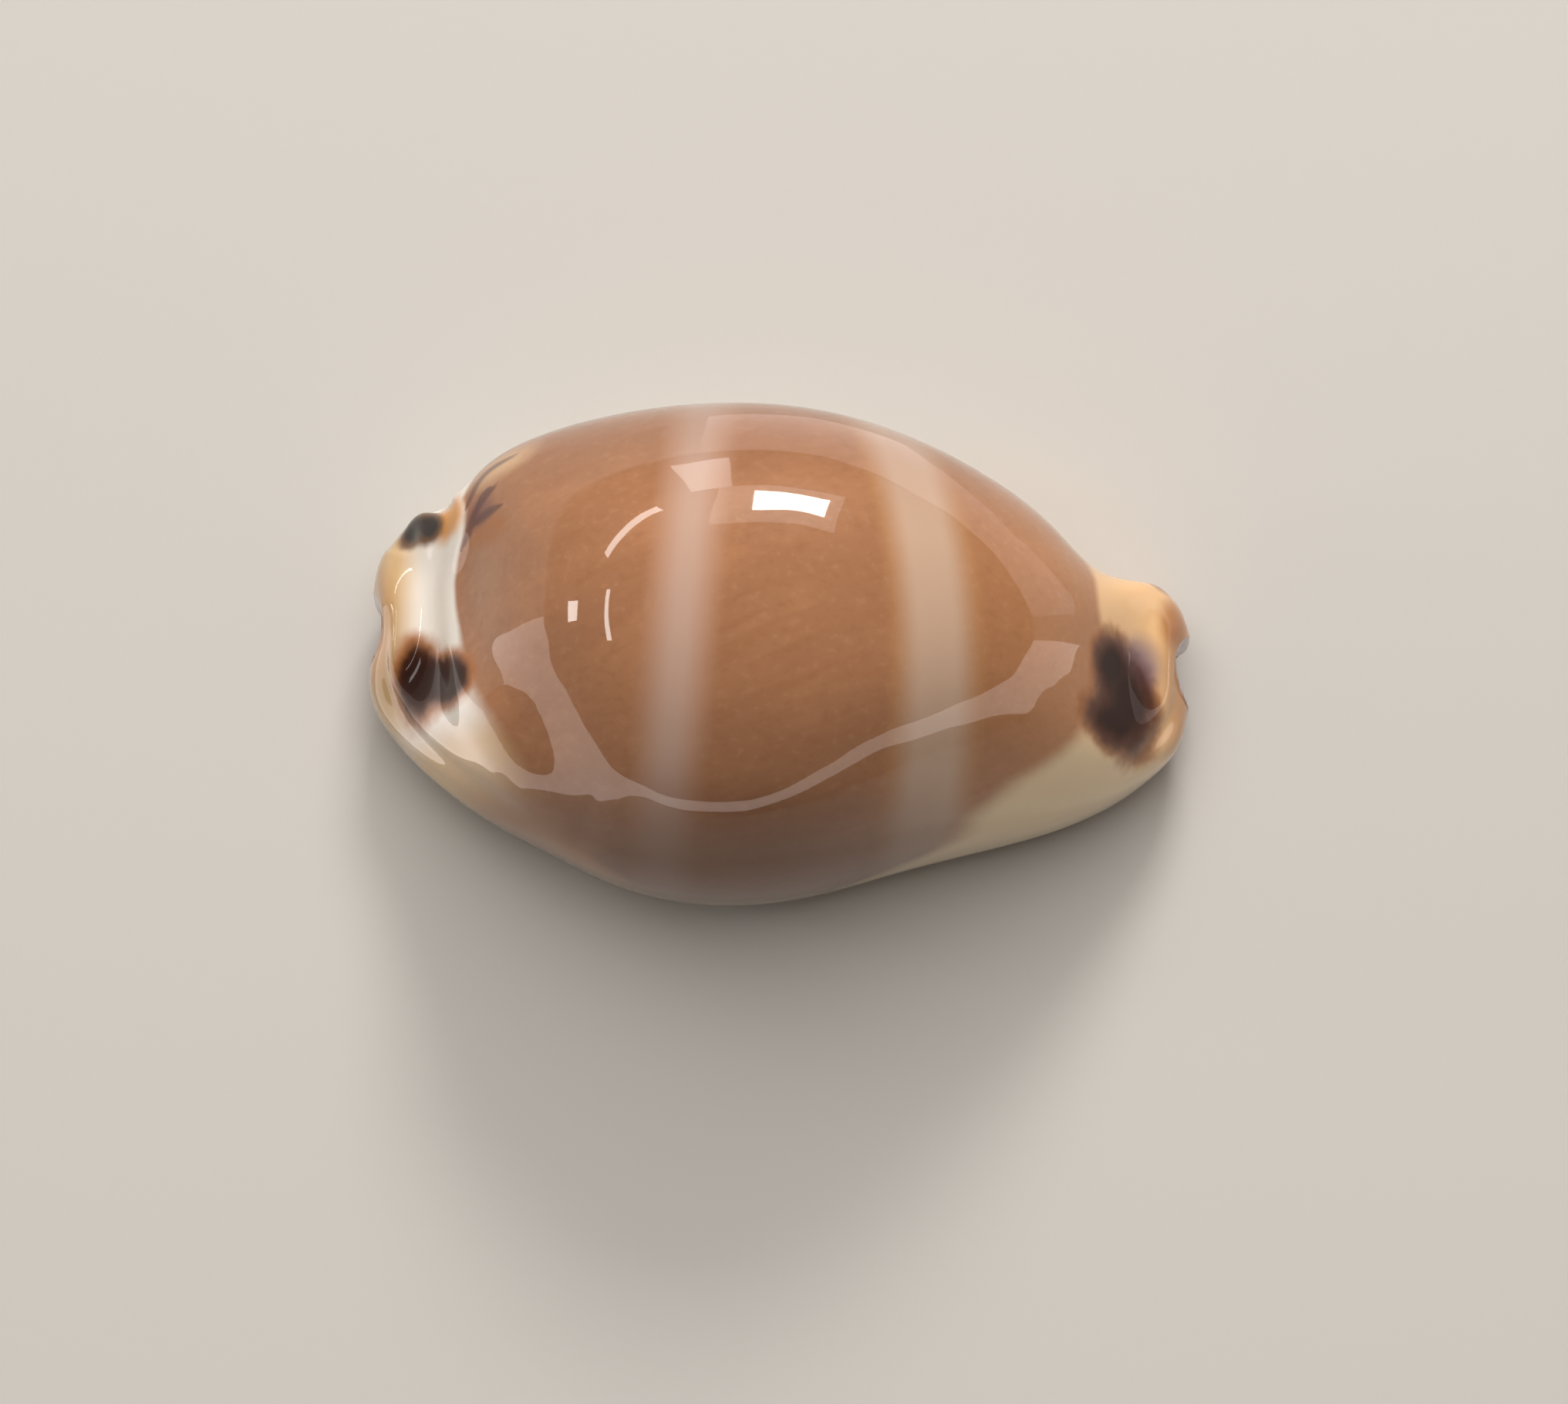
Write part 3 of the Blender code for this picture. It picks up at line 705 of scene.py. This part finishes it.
def object_from(bm: bmesh.types.BMesh, name: str,
                material: bpy.types.Material) -> bpy.types.Object:
    """Turns a bmesh into an object.

    Args:
        bm: the shape, which is freed.
        name: name of the object and its mesh.
        material: the object's one material.

    Returns:
        The object, not yet in the scene.
    """
    mesh = bpy.data.meshes.new(name)
    bm.to_mesh(mesh)
    bm.free()
    mesh.materials.append(material)
    return bpy.data.objects.new(name, mesh)


def linear(code: str) -> tuple[float, float, float, float]:
    """Turns an sRGB colour linear.

    Args:
        code: the colour as #rrggbb.

    Returns:
        Red, green, blue and a full alpha.
    """
    channels = [int(code[k:k + 2], 16) / 255.0 for k in (1, 3, 5)]
    light = [c / 12.92 if c <= 0.04045 else ((c + 0.055) / 1.055) ** 2.4 for c in channels]
    return light[0], light[1], light[2], 1.0


def add_node(tree: bpy.types.NodeTree, kind: str, inputs: dict[Any, Any],
             **settings: Any) -> bpy.types.Node:
    """Adds a node.

    Args:
        tree: the material's nodes.
        kind: the node's type name.
        inputs: a value or another node's output for each named or numbered socket.
        settings: the node's own options.

    Returns:
        The new node.
    """
    node = tree.nodes.new(kind)
    for option, value in settings.items():
        setattr(node, option, value)
    for socket, value in inputs.items():
        if isinstance(value, bpy.types.NodeSocket):
            tree.links.new(value, node.inputs[socket])
        else:
            node.inputs[socket].default_value = value
    return node


def blank_material(name: str) -> bpy.types.Material:
    """Starts a material.

    Args:
        name: name of the substance.

    Returns:
        The material, without any node.
    """
    material = bpy.data.materials.new(name)
    material.use_nodes = True
    material.node_tree.nodes.clear()
    return material


def shaded(material: bpy.types.Material, kind: str, inputs: dict[Any, Any]) -> bpy.types.Material:
    """Ends a material with its shader.

    Args:
        material: the material, with the nodes that feed the shader.
        kind: the shader's type name.
        inputs: the shader's sockets.

    Returns:
        The same material, finished.
    """
    shader = add_node(material.node_tree, kind, inputs)
    add_node(material.node_tree, "ShaderNodeOutputMaterial", {"Surface": shader.outputs[0]})
    return material


MIX_COLOURS = {"below": 6, "above": 7, "result": 2}


@dataclass(frozen=True)
class Tint:
    """A colour, or a patch of colours, laid over those below it.

    It covers nothing where its measure is start, and all that its strength allows at full.
    """

    measure: str
    colour: "str | Patch"
    start: float
    full: float
    strength: float = 1.0

    def over(self, tree: bpy.types.NodeTree, below: bpy.types.NodeSocket,
             measures: dict[str, bpy.types.NodeSocket]) -> bpy.types.NodeSocket:
        """Lays the tint over a colour.

        Args:
            tree: the material's nodes.
            below: the colour so far.
            measures: what tints go by.

        Returns:
            The colour below with this one over it.
        """
        cover = add_node(tree, "ShaderNodeMapRange", {
            "Value": measures[self.measure], "From Min": self.start, "From Max": self.full,
            "To Min": 0.0, "To Max": self.strength}, interpolation_type="SMOOTHSTEP")
        above = (self.colour.paint(tree, measures) if isinstance(self.colour, Patch)
                 else linear(self.colour))
        mixed = add_node(tree, "ShaderNodeMix", {
            0: cover.outputs["Result"], MIX_COLOURS["below"]: below,
            MIX_COLOURS["above"]: above}, data_type="RGBA")
        return mixed.outputs[MIX_COLOURS["result"]]


@dataclass(frozen=True)
class Patch:
    """A ground colour and the tints over it, from the lowest up."""

    ground: str
    tints: tuple[Tint, ...]

    def paint(self, tree: bpy.types.NodeTree,
              measures: dict[str, bpy.types.NodeSocket]) -> bpy.types.NodeSocket:
        """Lays all tints over the ground.

        Args:
            tree: the material's nodes.
            measures: what tints go by.

        Returns:
            The finished colours of the patch.
        """
        ground = add_node(tree, "ShaderNodeRGB", {})
        ground.outputs[0].default_value = linear(self.ground)
        colour = ground.outputs[0]
        for tint in self.tints:
            colour = tint.over(tree, colour, measures)
        return colour


@dataclass(frozen=True)
class Grain:
    """An even, random variation: its grain size in millimetres along X, Y and Z."""

    name: str
    size: tuple[float, float, float]
    detail: float = 2.0
    turn: float = 0.0

    def measure(self, tree: bpy.types.NodeTree,
                place: bpy.types.NodeSocket) -> bpy.types.NodeSocket:
        """Makes the variation.

        Args:
            tree: the material's nodes.
            place: where the surface is, in millimetres.

        Returns:
            Noise between 0 and 1.
        """
        scaled = add_node(tree, "ShaderNodeMapping", {
            "Vector": place, "Rotation": (0.0, 0.0, math.radians(self.turn)), "Scale": self.size},
            vector_type="TEXTURE")
        noise = add_node(tree, "ShaderNodeTexNoise", {
            "Vector": scaled.outputs["Vector"], "Scale": 1.0, "Detail": self.detail})
        return noise.outputs[0]


@dataclass(frozen=True)
class PaleBand:
    """A pale band across the back: x of its middle at y = 0, slope and bend, and half width."""

    name: str
    middle: float
    slope: float
    bend: float
    half_width: float

    def measure(self, tree: bpy.types.NodeTree, x: bpy.types.NodeSocket,
                y: bpy.types.NodeSocket) -> bpy.types.NodeSocket:
        """Measures from the band.

        Args:
            tree: the material's nodes.
            x: millimetres towards the front end.
            y: millimetres towards the columellar side.

        Returns:
            How many half widths a place lies from the middle of the band.
        """
        inner = add_node(tree, "ShaderNodeMath", {0: y, 1: self.bend, 2: self.slope},
                         operation="MULTIPLY_ADD")
        middle = add_node(tree, "ShaderNodeMath", {0: y, 1: inner.outputs[0], 2: self.middle},
                          operation="MULTIPLY_ADD")
        off = add_node(tree, "ShaderNodeMath", {0: x, 1: middle.outputs[0]}, operation="SUBTRACT")
        away = add_node(tree, "ShaderNodeMath", {0: off.outputs[0]}, operation="ABSOLUTE")
        return add_node(tree, "ShaderNodeMath", {0: away.outputs[0], 1: self.half_width},
                        operation="DIVIDE").outputs[0]


@dataclass(frozen=True)
class SpotLobe:
    """One lobe of a spot: its centre, its half sizes and its turn in degrees, seen from above."""

    centre: tuple[float, float, float]
    radii: tuple[float, float, float]
    turn: float = 0.0


@dataclass(frozen=True)
class EndSpot:
    """A spot or patch near an end of the shell, made of lobes that run together."""

    name: str
    lobes: tuple[SpotLobe, ...]
    melt: float = 0.35
    ragged: float = 0.3

    def measure(self, tree: bpy.types.NodeTree, place: bpy.types.NodeSocket,
                noise: bpy.types.NodeSocket) -> bpy.types.NodeSocket:
        """Measures from the spot.

        Args:
            tree: the material's nodes.
            place: where the surface is, in millimetres.
            noise: a variation between 0 and 1.

        Returns:
            0 at the middle of a lobe and 1 at its edge, which the noise makes ragged.
        """
        nearest: bpy.types.NodeSocket | None = None
        for lobe in self.lobes:
            local = add_node(tree, "ShaderNodeMapping", {
                "Vector": place, "Location": lobe.centre,
                "Rotation": (0.0, 0.0, math.radians(lobe.turn)), "Scale": lobe.radii},
                vector_type="TEXTURE")
            away = add_node(tree, "ShaderNodeVectorMath", {0: local.outputs["Vector"]},
                            operation="LENGTH").outputs["Value"]
            if nearest is None:
                nearest = away
            else:
                nearest = add_node(tree, "ShaderNodeMath", {0: nearest, 1: away, 2: self.melt},
                                   operation="SMOOTH_MIN").outputs[0]
        shifted = add_node(tree, "ShaderNodeMath", {0: noise, 1: self.ragged,
                                                    2: -0.5 * self.ragged},
                           operation="MULTIPLY_ADD")
        return add_node(tree, "ShaderNodeMath", {0: nearest, 1: shifted.outputs[0]},
                        operation="ADD").outputs[0]


BANDS = (
    PaleBand("rear_band", middle=-5.15, slope=0.045, bend=-0.0005, half_width=1.75),
    PaleBand("front_band", middle=8.0, slope=-0.11, bend=-0.011, half_width=2.2),
)
SPOTS = (
    EndSpot("rear_labral_spot", (
        SpotLobe((-19.4, -2.25, 7.6), (1.2, 2.05, 3.4), 8.0),
        SpotLobe((-17.5, -2.75, 11.2), (1.2, 1.25, 3.4)),
        SpotLobe((-18.5, -2.4, 9.2), (1.3, 1.25, 4.0)),
    ), melt=0.6, ragged=0.4),
    EndSpot("rear_columellar_spot", (
        SpotLobe((-20.3, 6.4, 6.9), (1.0, 1.0, 2.4), -25.0),
        SpotLobe((-19.35, 6.25, 8.4), (0.8, 0.9, 2.6)),
    ), melt=0.7, ragged=0.5),
    EndSpot("rear_amber_spot", (SpotLobe((-18.3, 6.45, 9.8), (1.05, 1.3, 3.2)),)),
    EndSpot("front_labral_spot", (
        SpotLobe((18.75, -1.65, 8.6), (1.65, 2.45, 5.0), 12.0),
        SpotLobe((17.85, -0.05, 9.9), (1.05, 1.6, 5.0)),
        SpotLobe((18.2, -2.95, 8.9), (1.85, 1.35, 5.0)),
    ), melt=0.6, ragged=0.5),
    EndSpot("spire_pale_patch", (SpotLobe((-14.9, 8.9, 9.5), (2.2, 1.0, 4.0), 30.0),)),
    EndSpot("spire_orange_patch", (SpotLobe((-15.9, 5.0, 14.3), (1.1, 0.9, 4.0), 40.0),)),
    EndSpot("spire_dark_patch", (SpotLobe((-16.45, 6.3, 13.0), (0.75, 1.0, 4.0), -20.0),)),
    EndSpot("front_lilac_spot", (SpotLobe((19.45, 0.45, 7.9), (1.2, 1.6, 5.0)),)),
    # Painted shade in the hollow of the front columellar lobe.
    EndSpot("front_lobe_shade", (SpotLobe((21.3, 3.3, 5.0), (1.0, 1.4, 3.0)),)),
    EndSpot("front_columellar_spot", (SpotLobe((20.2, 5.6, 4.4), (0.8, 0.9, 1.2)),)),
)
# Clouds in the brown, growth lines, freckles, the edges of spots, and waves in the clear coat.
GRAINS = (
    Grain("cloud", (6.0, 3.5, 5.0), 3.0, 20.0),
    Grain("growth", (9.0, 0.7, 1.2), 3.0, 25.0),
    Grain("freckle", (0.55, 0.45, 0.55), 4.0),
    Grain("ragged", (1.3, 1.3, 1.3), 2.0),
    Grain("ripple", (5.0, 4.0, 4.0), 1.0),
)
REAR_CALLUS = Patch("#ebe3d9", (
    Tint("x", "#c4a377", -19.2, -21.2),
    Tint("y", "#dfbd90", -4.6, -6.6),
    Tint("y", "#a0714c", -6.6, -10.0),
    Tint("below_margin", "#e3cfb0", 1.0, 5.0),
))
FRONT_CALLUS = Patch("#e8bc8a", (
    Tint("y", "#e6cba4", -2.5, -5.5),
    Tint("x", "#cb9263", 20.6, 22.2, 0.7),
))
SHELL_COLOURS = Patch("#a1704f", (
    # The back: fawn brown, mottled, more orange towards the front end.
    Tint("cloud", "#b07c57", 0.42, 0.66, 0.55),
    Tint("growth", "#96633f", 0.5, 0.72, 0.28),
    Tint("x", "#b97d4c", 4.0, 18.0, 0.6),
    Tint("freckle", "#7d5034", 0.52, 0.74, 0.16),
    Tint("freckle", "#c99a77", 0.46, 0.28, 0.14),
    Tint("rear_band", "#b58a70", 1.35, 0.65, 0.8),
    Tint("rear_band", "#bf9e8c", 0.95, 0.1, 0.9),
    Tint("front_band", "#bf8f60", 1.3, 0.9, 0.35),
    Tint("front_band", "#c4a58e", 1.1, 0.35, 0.92),
    # Darker down the labral flank, partly the margin's own greyer brown and partly painted shade;
    # darker up the columellar flank as painted shade alone; cream under the margins.
    Tint("y", "#66422d", -7.0, -12.5, 0.75),
    # Painted shade: the columellar flank darkened where the light falls less.
    Tint("y", "#6e4832", 4.0, 12.0, 0.4),
    Tint("below_margin", "#c9ab86", 0.8, 4.5),
    Tint("below_margin", "#ece0cb", 2.5, 7.5),
    # The enamel that wraps both ends.
    Tint("rear_border", REAR_CALLUS, 0.9, -0.9),
    Tint("front_border", FRONT_CALLUS, -0.9, 0.9),
    Tint("from_rim", "#c28e60", 1.8, 0.3, 0.75),
    # The end spots: an amber halo round a nearly black brown.
    Tint("rear_labral_spot", "#a9662c", 1.6, 1.05, 0.9),
    Tint("rear_labral_spot", "#432110", 1.3, 0.75),
    Tint("rear_labral_spot", "#28110a", 1.0, 0.45, 0.95),
    Tint("rear_amber_spot", "#d18c36", 1.4, 0.5),
    Tint("rear_columellar_spot", "#6d4a2c", 1.4, 0.85),
    Tint("rear_columellar_spot", "#241c1a", 1.0, 0.45, 0.95),
    # Painted shade: darker orange in the hollow of the front columellar lobe.
    Tint("front_lobe_shade", "#a5652f", 1.4, 0.5, 0.8),
    Tint("front_labral_spot", "#a5601f", 1.6, 1.15, 0.75),
    Tint("front_lilac_spot", "#8a7580", 1.5, 0.4, 0.8),
    Tint("front_labral_spot", "#523028", 1.45, 0.85, 0.9),
    Tint("front_labral_spot", "#2a1510", 1.1, 0.35, 0.95),
    # Marks at the old spire, and the small front spot on the columellar side.
    Tint("spire_pale_patch", "#e0bf96", 1.4, 0.5, 0.65),
    Tint("spire_orange_patch", "#a5642c", 1.4, 0.4, 0.6),
    Tint("spire_dark_patch", "#6b4748", 1.4, 0.5, 0.55),
    Tint("front_columellar_spot", "#a2683a", 1.5, 1.1, 0.8),
    Tint("front_columellar_spot", "#4a2d20", 1.1, 0.7),
    # The wrinkles, the grooves between the teeth, and the inside.
    Tint("wrinkle", "#4b2c2c", 1.8, 0.3, 0.7),
    Tint("groove", "#c9a37c", 0.15, 0.9, 0.6),
    Tint("inside", "#b9a3a6", 0.0, 1.0),
))


@dataclass(frozen=True)
class ShellEnamel:
    """Aragonite enamel: a clear, very glossy layer over the colours laid down by the mantle.

    The coat mirrors the lights sharply, and the light let in under it softens the colours. On the
    two labral spots the coat is thin, so that they stay dark against the pale ground they mirror.
    """

    name: str = "aragonite_enamel"
    colours: Patch = SHELL_COLOURS
    bands: tuple[PaleBand, ...] = BANDS
    spots: tuple[EndSpot, ...] = SPOTS
    grains: tuple[Grain, ...] = GRAINS
    attributes: tuple[str, ...] = ("rear_border", "front_border", "below_margin", "from_rim",
                                   "groove", "wrinkle", "inside")
    roughness: float = 0.35
    under_gloss: float = 0.05
    coat: float = 1.0
    spot_coat: float = 0.25
    spot_coat_edge: tuple[float, float] = (0.7, 1.3)
    coat_roughness: float = 0.03
    coat_ior: float = 1.45
    glow: float = 0.12
    glow_depth: float = 0.8
    glow_reach: tuple[float, float, float] = (1.0, 0.6, 0.4)
    ripple: float = 0.07

    def measures(self, tree: bpy.types.NodeTree) -> dict[str, bpy.types.NodeSocket]:
        """Gathers what the tints go by.

        Args:
            tree: the material's nodes.

        Returns:
            An output for the place and for each measure.
        """
        where = add_node(tree, "ShaderNodeTexCoord", {}).outputs["Object"]
        place = add_node(tree, "ShaderNodeVectorMath", {0: where, 3: 1.0 / MM},
                         operation="SCALE").outputs["Vector"]
        split = add_node(tree, "ShaderNodeSeparateXYZ", {"Vector": place})
        found = {"place": place, "x": split.outputs["X"], "y": split.outputs["Y"]}
        for name in self.attributes:
            found[name] = add_node(tree, "ShaderNodeAttribute", {},
                                   attribute_name=name).outputs["Fac"]
        for grain in self.grains:
            found[grain.name] = grain.measure(tree, place)
        for band in self.bands:
            found[band.name] = band.measure(tree, found["x"], found["y"])
        for spot in self.spots:
            found[spot.name] = spot.measure(tree, place, found["ragged"])
        return found

    def make(self) -> bpy.types.Material:
        """Builds the material.

        Returns:
            The finished enamel.
        """
        material = blank_material(self.name)
        tree = material.node_tree
        found = self.measures(tree)
        ripple = add_node(tree, "ShaderNodeBump", {
            "Height": found["ripple"], "Distance": self.ripple * MM})
        dark = add_node(tree, "ShaderNodeMath", {
            0: found["rear_labral_spot"], 1: found["front_labral_spot"]}, operation="MINIMUM")
        thin, whole = self.spot_coat_edge
        coat = add_node(tree, "ShaderNodeMapRange", {
            "Value": dark.outputs[0], "From Min": thin, "From Max": whole,
            "To Min": self.spot_coat, "To Max": self.coat})
        return shaded(material, "ShaderNodeBsdfPrincipled", {
            "Base Color": self.colours.paint(tree, found), "Roughness": self.roughness,
            "Specular IOR Level": self.under_gloss,
            "Coat Weight": coat.outputs["Result"], "Coat Roughness": self.coat_roughness,
            "Coat IOR": self.coat_ior, "Coat Normal": ripple.outputs["Normal"],
            "Subsurface Weight": self.glow, "Subsurface Radius": self.glow_reach,
            "Subsurface Scale": self.glow_depth * MM})


@dataclass(frozen=True)
class MattCard:
    """White card with a matt face: it takes soft shadows and has no highlight of its own."""

    name: str = "matt_white_card"
    colour: str = "#c6c3bf"
    roughness: float = 0.75
    gloss: float = 0.0

    def make(self) -> bpy.types.Material:
        """Builds the material."""
        return shaded(blank_material(self.name), "ShaderNodeBsdfPrincipled", {
            "Base Color": linear(self.colour), "Roughness": self.roughness,
            "Specular IOR Level": self.gloss})


@dataclass(frozen=True)
class LitCloth:
    """White cloth lit from behind: one even, warm tone, which the gloss mirrors."""

    name: str = "lit_white_cloth"
    colour: str = "#fff1ea"
    glow: float = 2.6

    def make(self) -> bpy.types.Material:
        """Builds the material."""
        return shaded(blank_material(self.name), "ShaderNodeEmission", {
            "Color": linear(self.colour), "Strength": self.glow})


@dataclass(frozen=True)
class StudioCard:
    """The pale ground that the shell lies on."""

    name: str = "studio_card"
    finish: MattCard = MattCard()
    half_width: float = 2500.0

    def build(self) -> bpy.types.Object:
        """Makes the card.

        Returns:
            The card with its finish, not yet in the scene.
        """
        bm = bmesh.new()
        bmesh.ops.create_grid(bm, x_segments=1, y_segments=1, size=self.half_width * MM)
        return object_from(bm, self.name, self.finish.make())


@dataclass(frozen=True)
class SoftBox:
    """A soft box light: where it stands as seen from the shell, how large and how bright.

    One that shines lights the matt parts of what it falls on, and one that is mirrored shows in
    the gloss.
    """

    name: str
    direction: tuple[float, float, float]
    distance: float
    size: tuple[float, float]
    watts: float
    colour: str = "#fffaf4"
    shines: bool = True
    mirrored: bool = True

    def build(self, aim: Vector) -> bpy.types.Object:
        """Makes the light.

        Args:
            aim: the point it faces, in metres.

        Returns:
            The light, not yet in the scene.
        """
        light = bpy.data.lights.new(self.name, "AREA")
        light.shape = "RECTANGLE"
        light.size, light.size_y = (side * MM for side in self.size)
        light.energy = self.watts
        light.color = linear(self.colour)[:3]
        holder = bpy.data.objects.new(self.name, light)
        out = Vector(self.direction).normalized()
        holder.location = aim + out * self.distance * MM
        holder.rotation_euler = out.to_track_quat("Z", "Y").to_euler()
        holder.visible_camera = False
        holder.visible_diffuse = self.shines
        holder.visible_glossy = self.mirrored
        return holder


LABRAL_CARD: Points = (
    (-96.0, 0.0, 0.0, 30.0), (-94.0, 0.0, 0.5, 30.0), (-88.0, 0.0, 3.5, 32.0),
    (-82.0, 0.0, 5.5, 30.0), (-76.0, 0.0, 8.0, 28.0), (-68.0, 0.0, 9.5, 27.0),
    (-60.0, 0.0, 9.0, 30.0), (-52.0, 0.0, 7.0, 45.0), (-45.0, 0.0, 4.5, 40.0),
    (-40.0, 0.0, 3.0, 58.0), (-35.0, 0.0, 3.0, 95.0), (-30.0, 0.0, 4.0, 236.0),
    (-24.0, 0.0, 4.5, FAR), (-15.0, 1.0, 6.0, FAR), (0.0, 3.0, 9.0, FAR),
    (15.0, 8.0, 15.0, FAR), (30.0, 12.0, 20.0, FAR), (45.0, 11.0, 20.0, FAR),
    (60.0, 6.0, 16.0, FAR), (72.0, 1.0, 13.0, FAR), (76.0, 0.0, 11.0, FAR),
    (82.0, 0.0, 8.0, 300.0), (88.0, 0.0, 6.0, 111.0), (94.0, 0.0, 3.0, 60.0),
    (99.0, 0.0, 0.0, 45.0))
COLUMELLAR_CARD: Points = (
    (106.0, 0.0, 0.0, 50.0), (110.0, 0.0, 0.5, 47.0), (118.0, 0.0, 1.0, 54.0),
    (129.0, 0.0, 1.0, 58.0), (140.0, 0.0, 0.5, 48.0), (150.0, 0.0, 0.3, 36.0),
    (157.0, 0.0, 0.1, 28.0), (166.0, 0.0, 0.1, 28.0), (180.0, 0.0, 0.1, 30.0),
    (192.0, 0.0, 0.0, 33.0))


@dataclass(frozen=True)
class HorizonCard:
    """Lit card bent round one side, which the gloss mirrors as a pale ribbon.

    Each row holds the direction in degrees from -Y towards +X, the card's lowest and highest
    elevation there as the shell sees it, and how near it comes along the floor. Where that is the
    radius, the card has no part along the floor.
    """

    name: str
    rows: Points
    radius: float = FAR
    above_floor: float = 0.3
    steps: int = 120
    finish: LitCloth = LitCloth()

    def build(self) -> bpy.types.Object:
        """Makes the card.

        Returns:
            The card, which is seen by reflections alone and casts no shadow.
        """
        table = np.array(self.rows)
        turns = np.linspace(table[0, 0], table[-1, 0], self.steps + 1)
        low, high, near = (np.interp(turns, table[:, 0], table[:, k]) for k in (1, 2, 3))
        bm = bmesh.new()
        bmesh.ops.create_grid(bm, x_segments=self.steps, y_segments=2, size=1.0)
        for vert in bm.verts:
            place = grid_line(vert.co.x, self.steps)
            # -1 is the near edge along the floor, 0 the foot of the card and 1 its top.
            edge = round(vert.co.y)
            turn = math.radians(turns[place])
            rise = math.radians((high if edge > 0 else low)[place])
            out = near[place] if edge < 0 else self.radius
            height = out * math.tan(rise) if out == self.radius else 0.0
            vert.co = Vector((out * math.sin(turn), -out * math.cos(turn),
                              height + self.above_floor)) * MM
        card = object_from(bm, self.name, self.finish.make())
        card.visible_camera = False
        card.visible_diffuse = False
        card.visible_shadow = False
        return card


@dataclass(frozen=True)
class Studio:
    """The lights: a key box and its glow, an even overhead light, and pale surroundings.

    The rear box, the strips and the panel are there for the windows and streaks that the gloss
    mirrors.
    """

    boxes: tuple[SoftBox, ...] = (
        SoftBox("key_box", (0.08, 0.81, 0.57), 500.0, (150.0, 95.0), 1.4),
        SoftBox("key_surround", (0.05, 0.8, 0.58), 700.0, (340.0, 260.0), 0.56),
        SoftBox("overhead", (-0.1, 0.3, 0.95), 1200.0, (1200.0, 1200.0), 11.9, mirrored=False),
        SoftBox("rear_box", (-0.956, 0.096, 0.297), 500.0, (70.0, 50.0), 0.15),
        SoftBox("side_strip", (-0.76, 0.03, 0.65), 500.0, (220.0, 24.0), 0.22, shines=False),
        SoftBox("tall_panel", (-0.21, 0.94, 0.26), 700.0, (95.0, 240.0), 0.26, shines=False),
        SoftBox("corner_strip", (-0.56, 0.65, 0.51), 500.0, (240.0, 30.0), 0.25, shines=False),
    )
    air: str = "#f4f3f1"
    air_strength: float = 0.18

    def build(self, aim: Vector) -> list[bpy.types.Object]:
        """Sets the surroundings and makes the lights.

        Args:
            aim: the point that the lights face, in metres.

        Returns:
            The lights, not yet in the scene.
        """
        world = bpy.data.worlds.new("light_tent")
        world.use_nodes = True
        tree = world.node_tree
        tree.nodes.clear()
        air = add_node(tree, "ShaderNodeBackground", {
            "Color": linear(self.air), "Strength": self.air_strength})
        add_node(tree, "ShaderNodeOutputWorld", {"Surface": air.outputs["Background"]})
        bpy.context.scene.world = world
        return [box.build(aim) for box in self.boxes]


@dataclass(frozen=True)
class PhotoCamera:
    """The photograph's view: from above, a little on the labral side."""

    aim: tuple[float, float, float] = (0.316, -1.6, 4.0)
    distance: float = 300.0
    elevation: float = 78.0
    roll: float = 2.628
    view_width: float = 85.75
    sensor: float = 36.0
    nearest: float = 10.0

    def build(self) -> bpy.types.Object:
        """Makes the camera.

        Returns:
            The camera in its place, not yet in the scene.
        """
        lens = bpy.data.cameras.new("photo_camera")
        lens.sensor_width = self.sensor
        lens.lens = self.sensor * self.distance / self.view_width
        lens.clip_start = self.nearest * MM
        holder = bpy.data.objects.new("photo_camera", lens)
        tip, roll = math.radians(self.elevation), math.radians(self.roll)
        back = Vector((0.0, -math.cos(tip), math.sin(tip)))
        level = Vector((1.0, 0.0, 0.0))
        upright = back.cross(level)
        right = level * math.cos(roll) + upright * math.sin(roll)
        up = upright * math.cos(roll) - level * math.sin(roll)
        place = Matrix((right, up, back)).transposed().to_4x4()
        place.translation = (Vector(self.aim) + back * self.distance) * MM
        holder.matrix_world = place
        return holder


def main() -> None:
    """Builds the shell, the floor and cards, the lights and the camera."""
    logging.basicConfig(level=logging.INFO, format="%(name)s: %(message)s")
    scene = bpy.context.scene
    scene.view_settings.view_transform = "Standard"
    shell = CowrieShell()
    piece = shell.build(ShellEnamel().make())
    scene.collection.objects.link(piece)
    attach(piece, "root")
    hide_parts(shell.node)
    log.info("shell: %d faces", len(piece.data.polygons))
    cards = (StudioCard(), HorizonCard("labral_card", LABRAL_CARD),
             HorizonCard("columellar_card", COLUMELLAR_CARD, finish=LitCloth(glow=1.3)))
    for plan in cards:
        card = plan.build()
        scene.collection.objects.link(card)
        log.info("stage: %s", card.name)
    camera = PhotoCamera()
    for light in Studio().build(Vector(camera.aim) * MM):
        scene.collection.objects.link(light)
        log.info("light: %s", light.name)
    holder = camera.build()
    scene.collection.objects.link(holder)
    scene.camera = holder
    log.info("camera: %.1f mm lens", holder.data.lens)


if __name__ == "__main__":
    main()
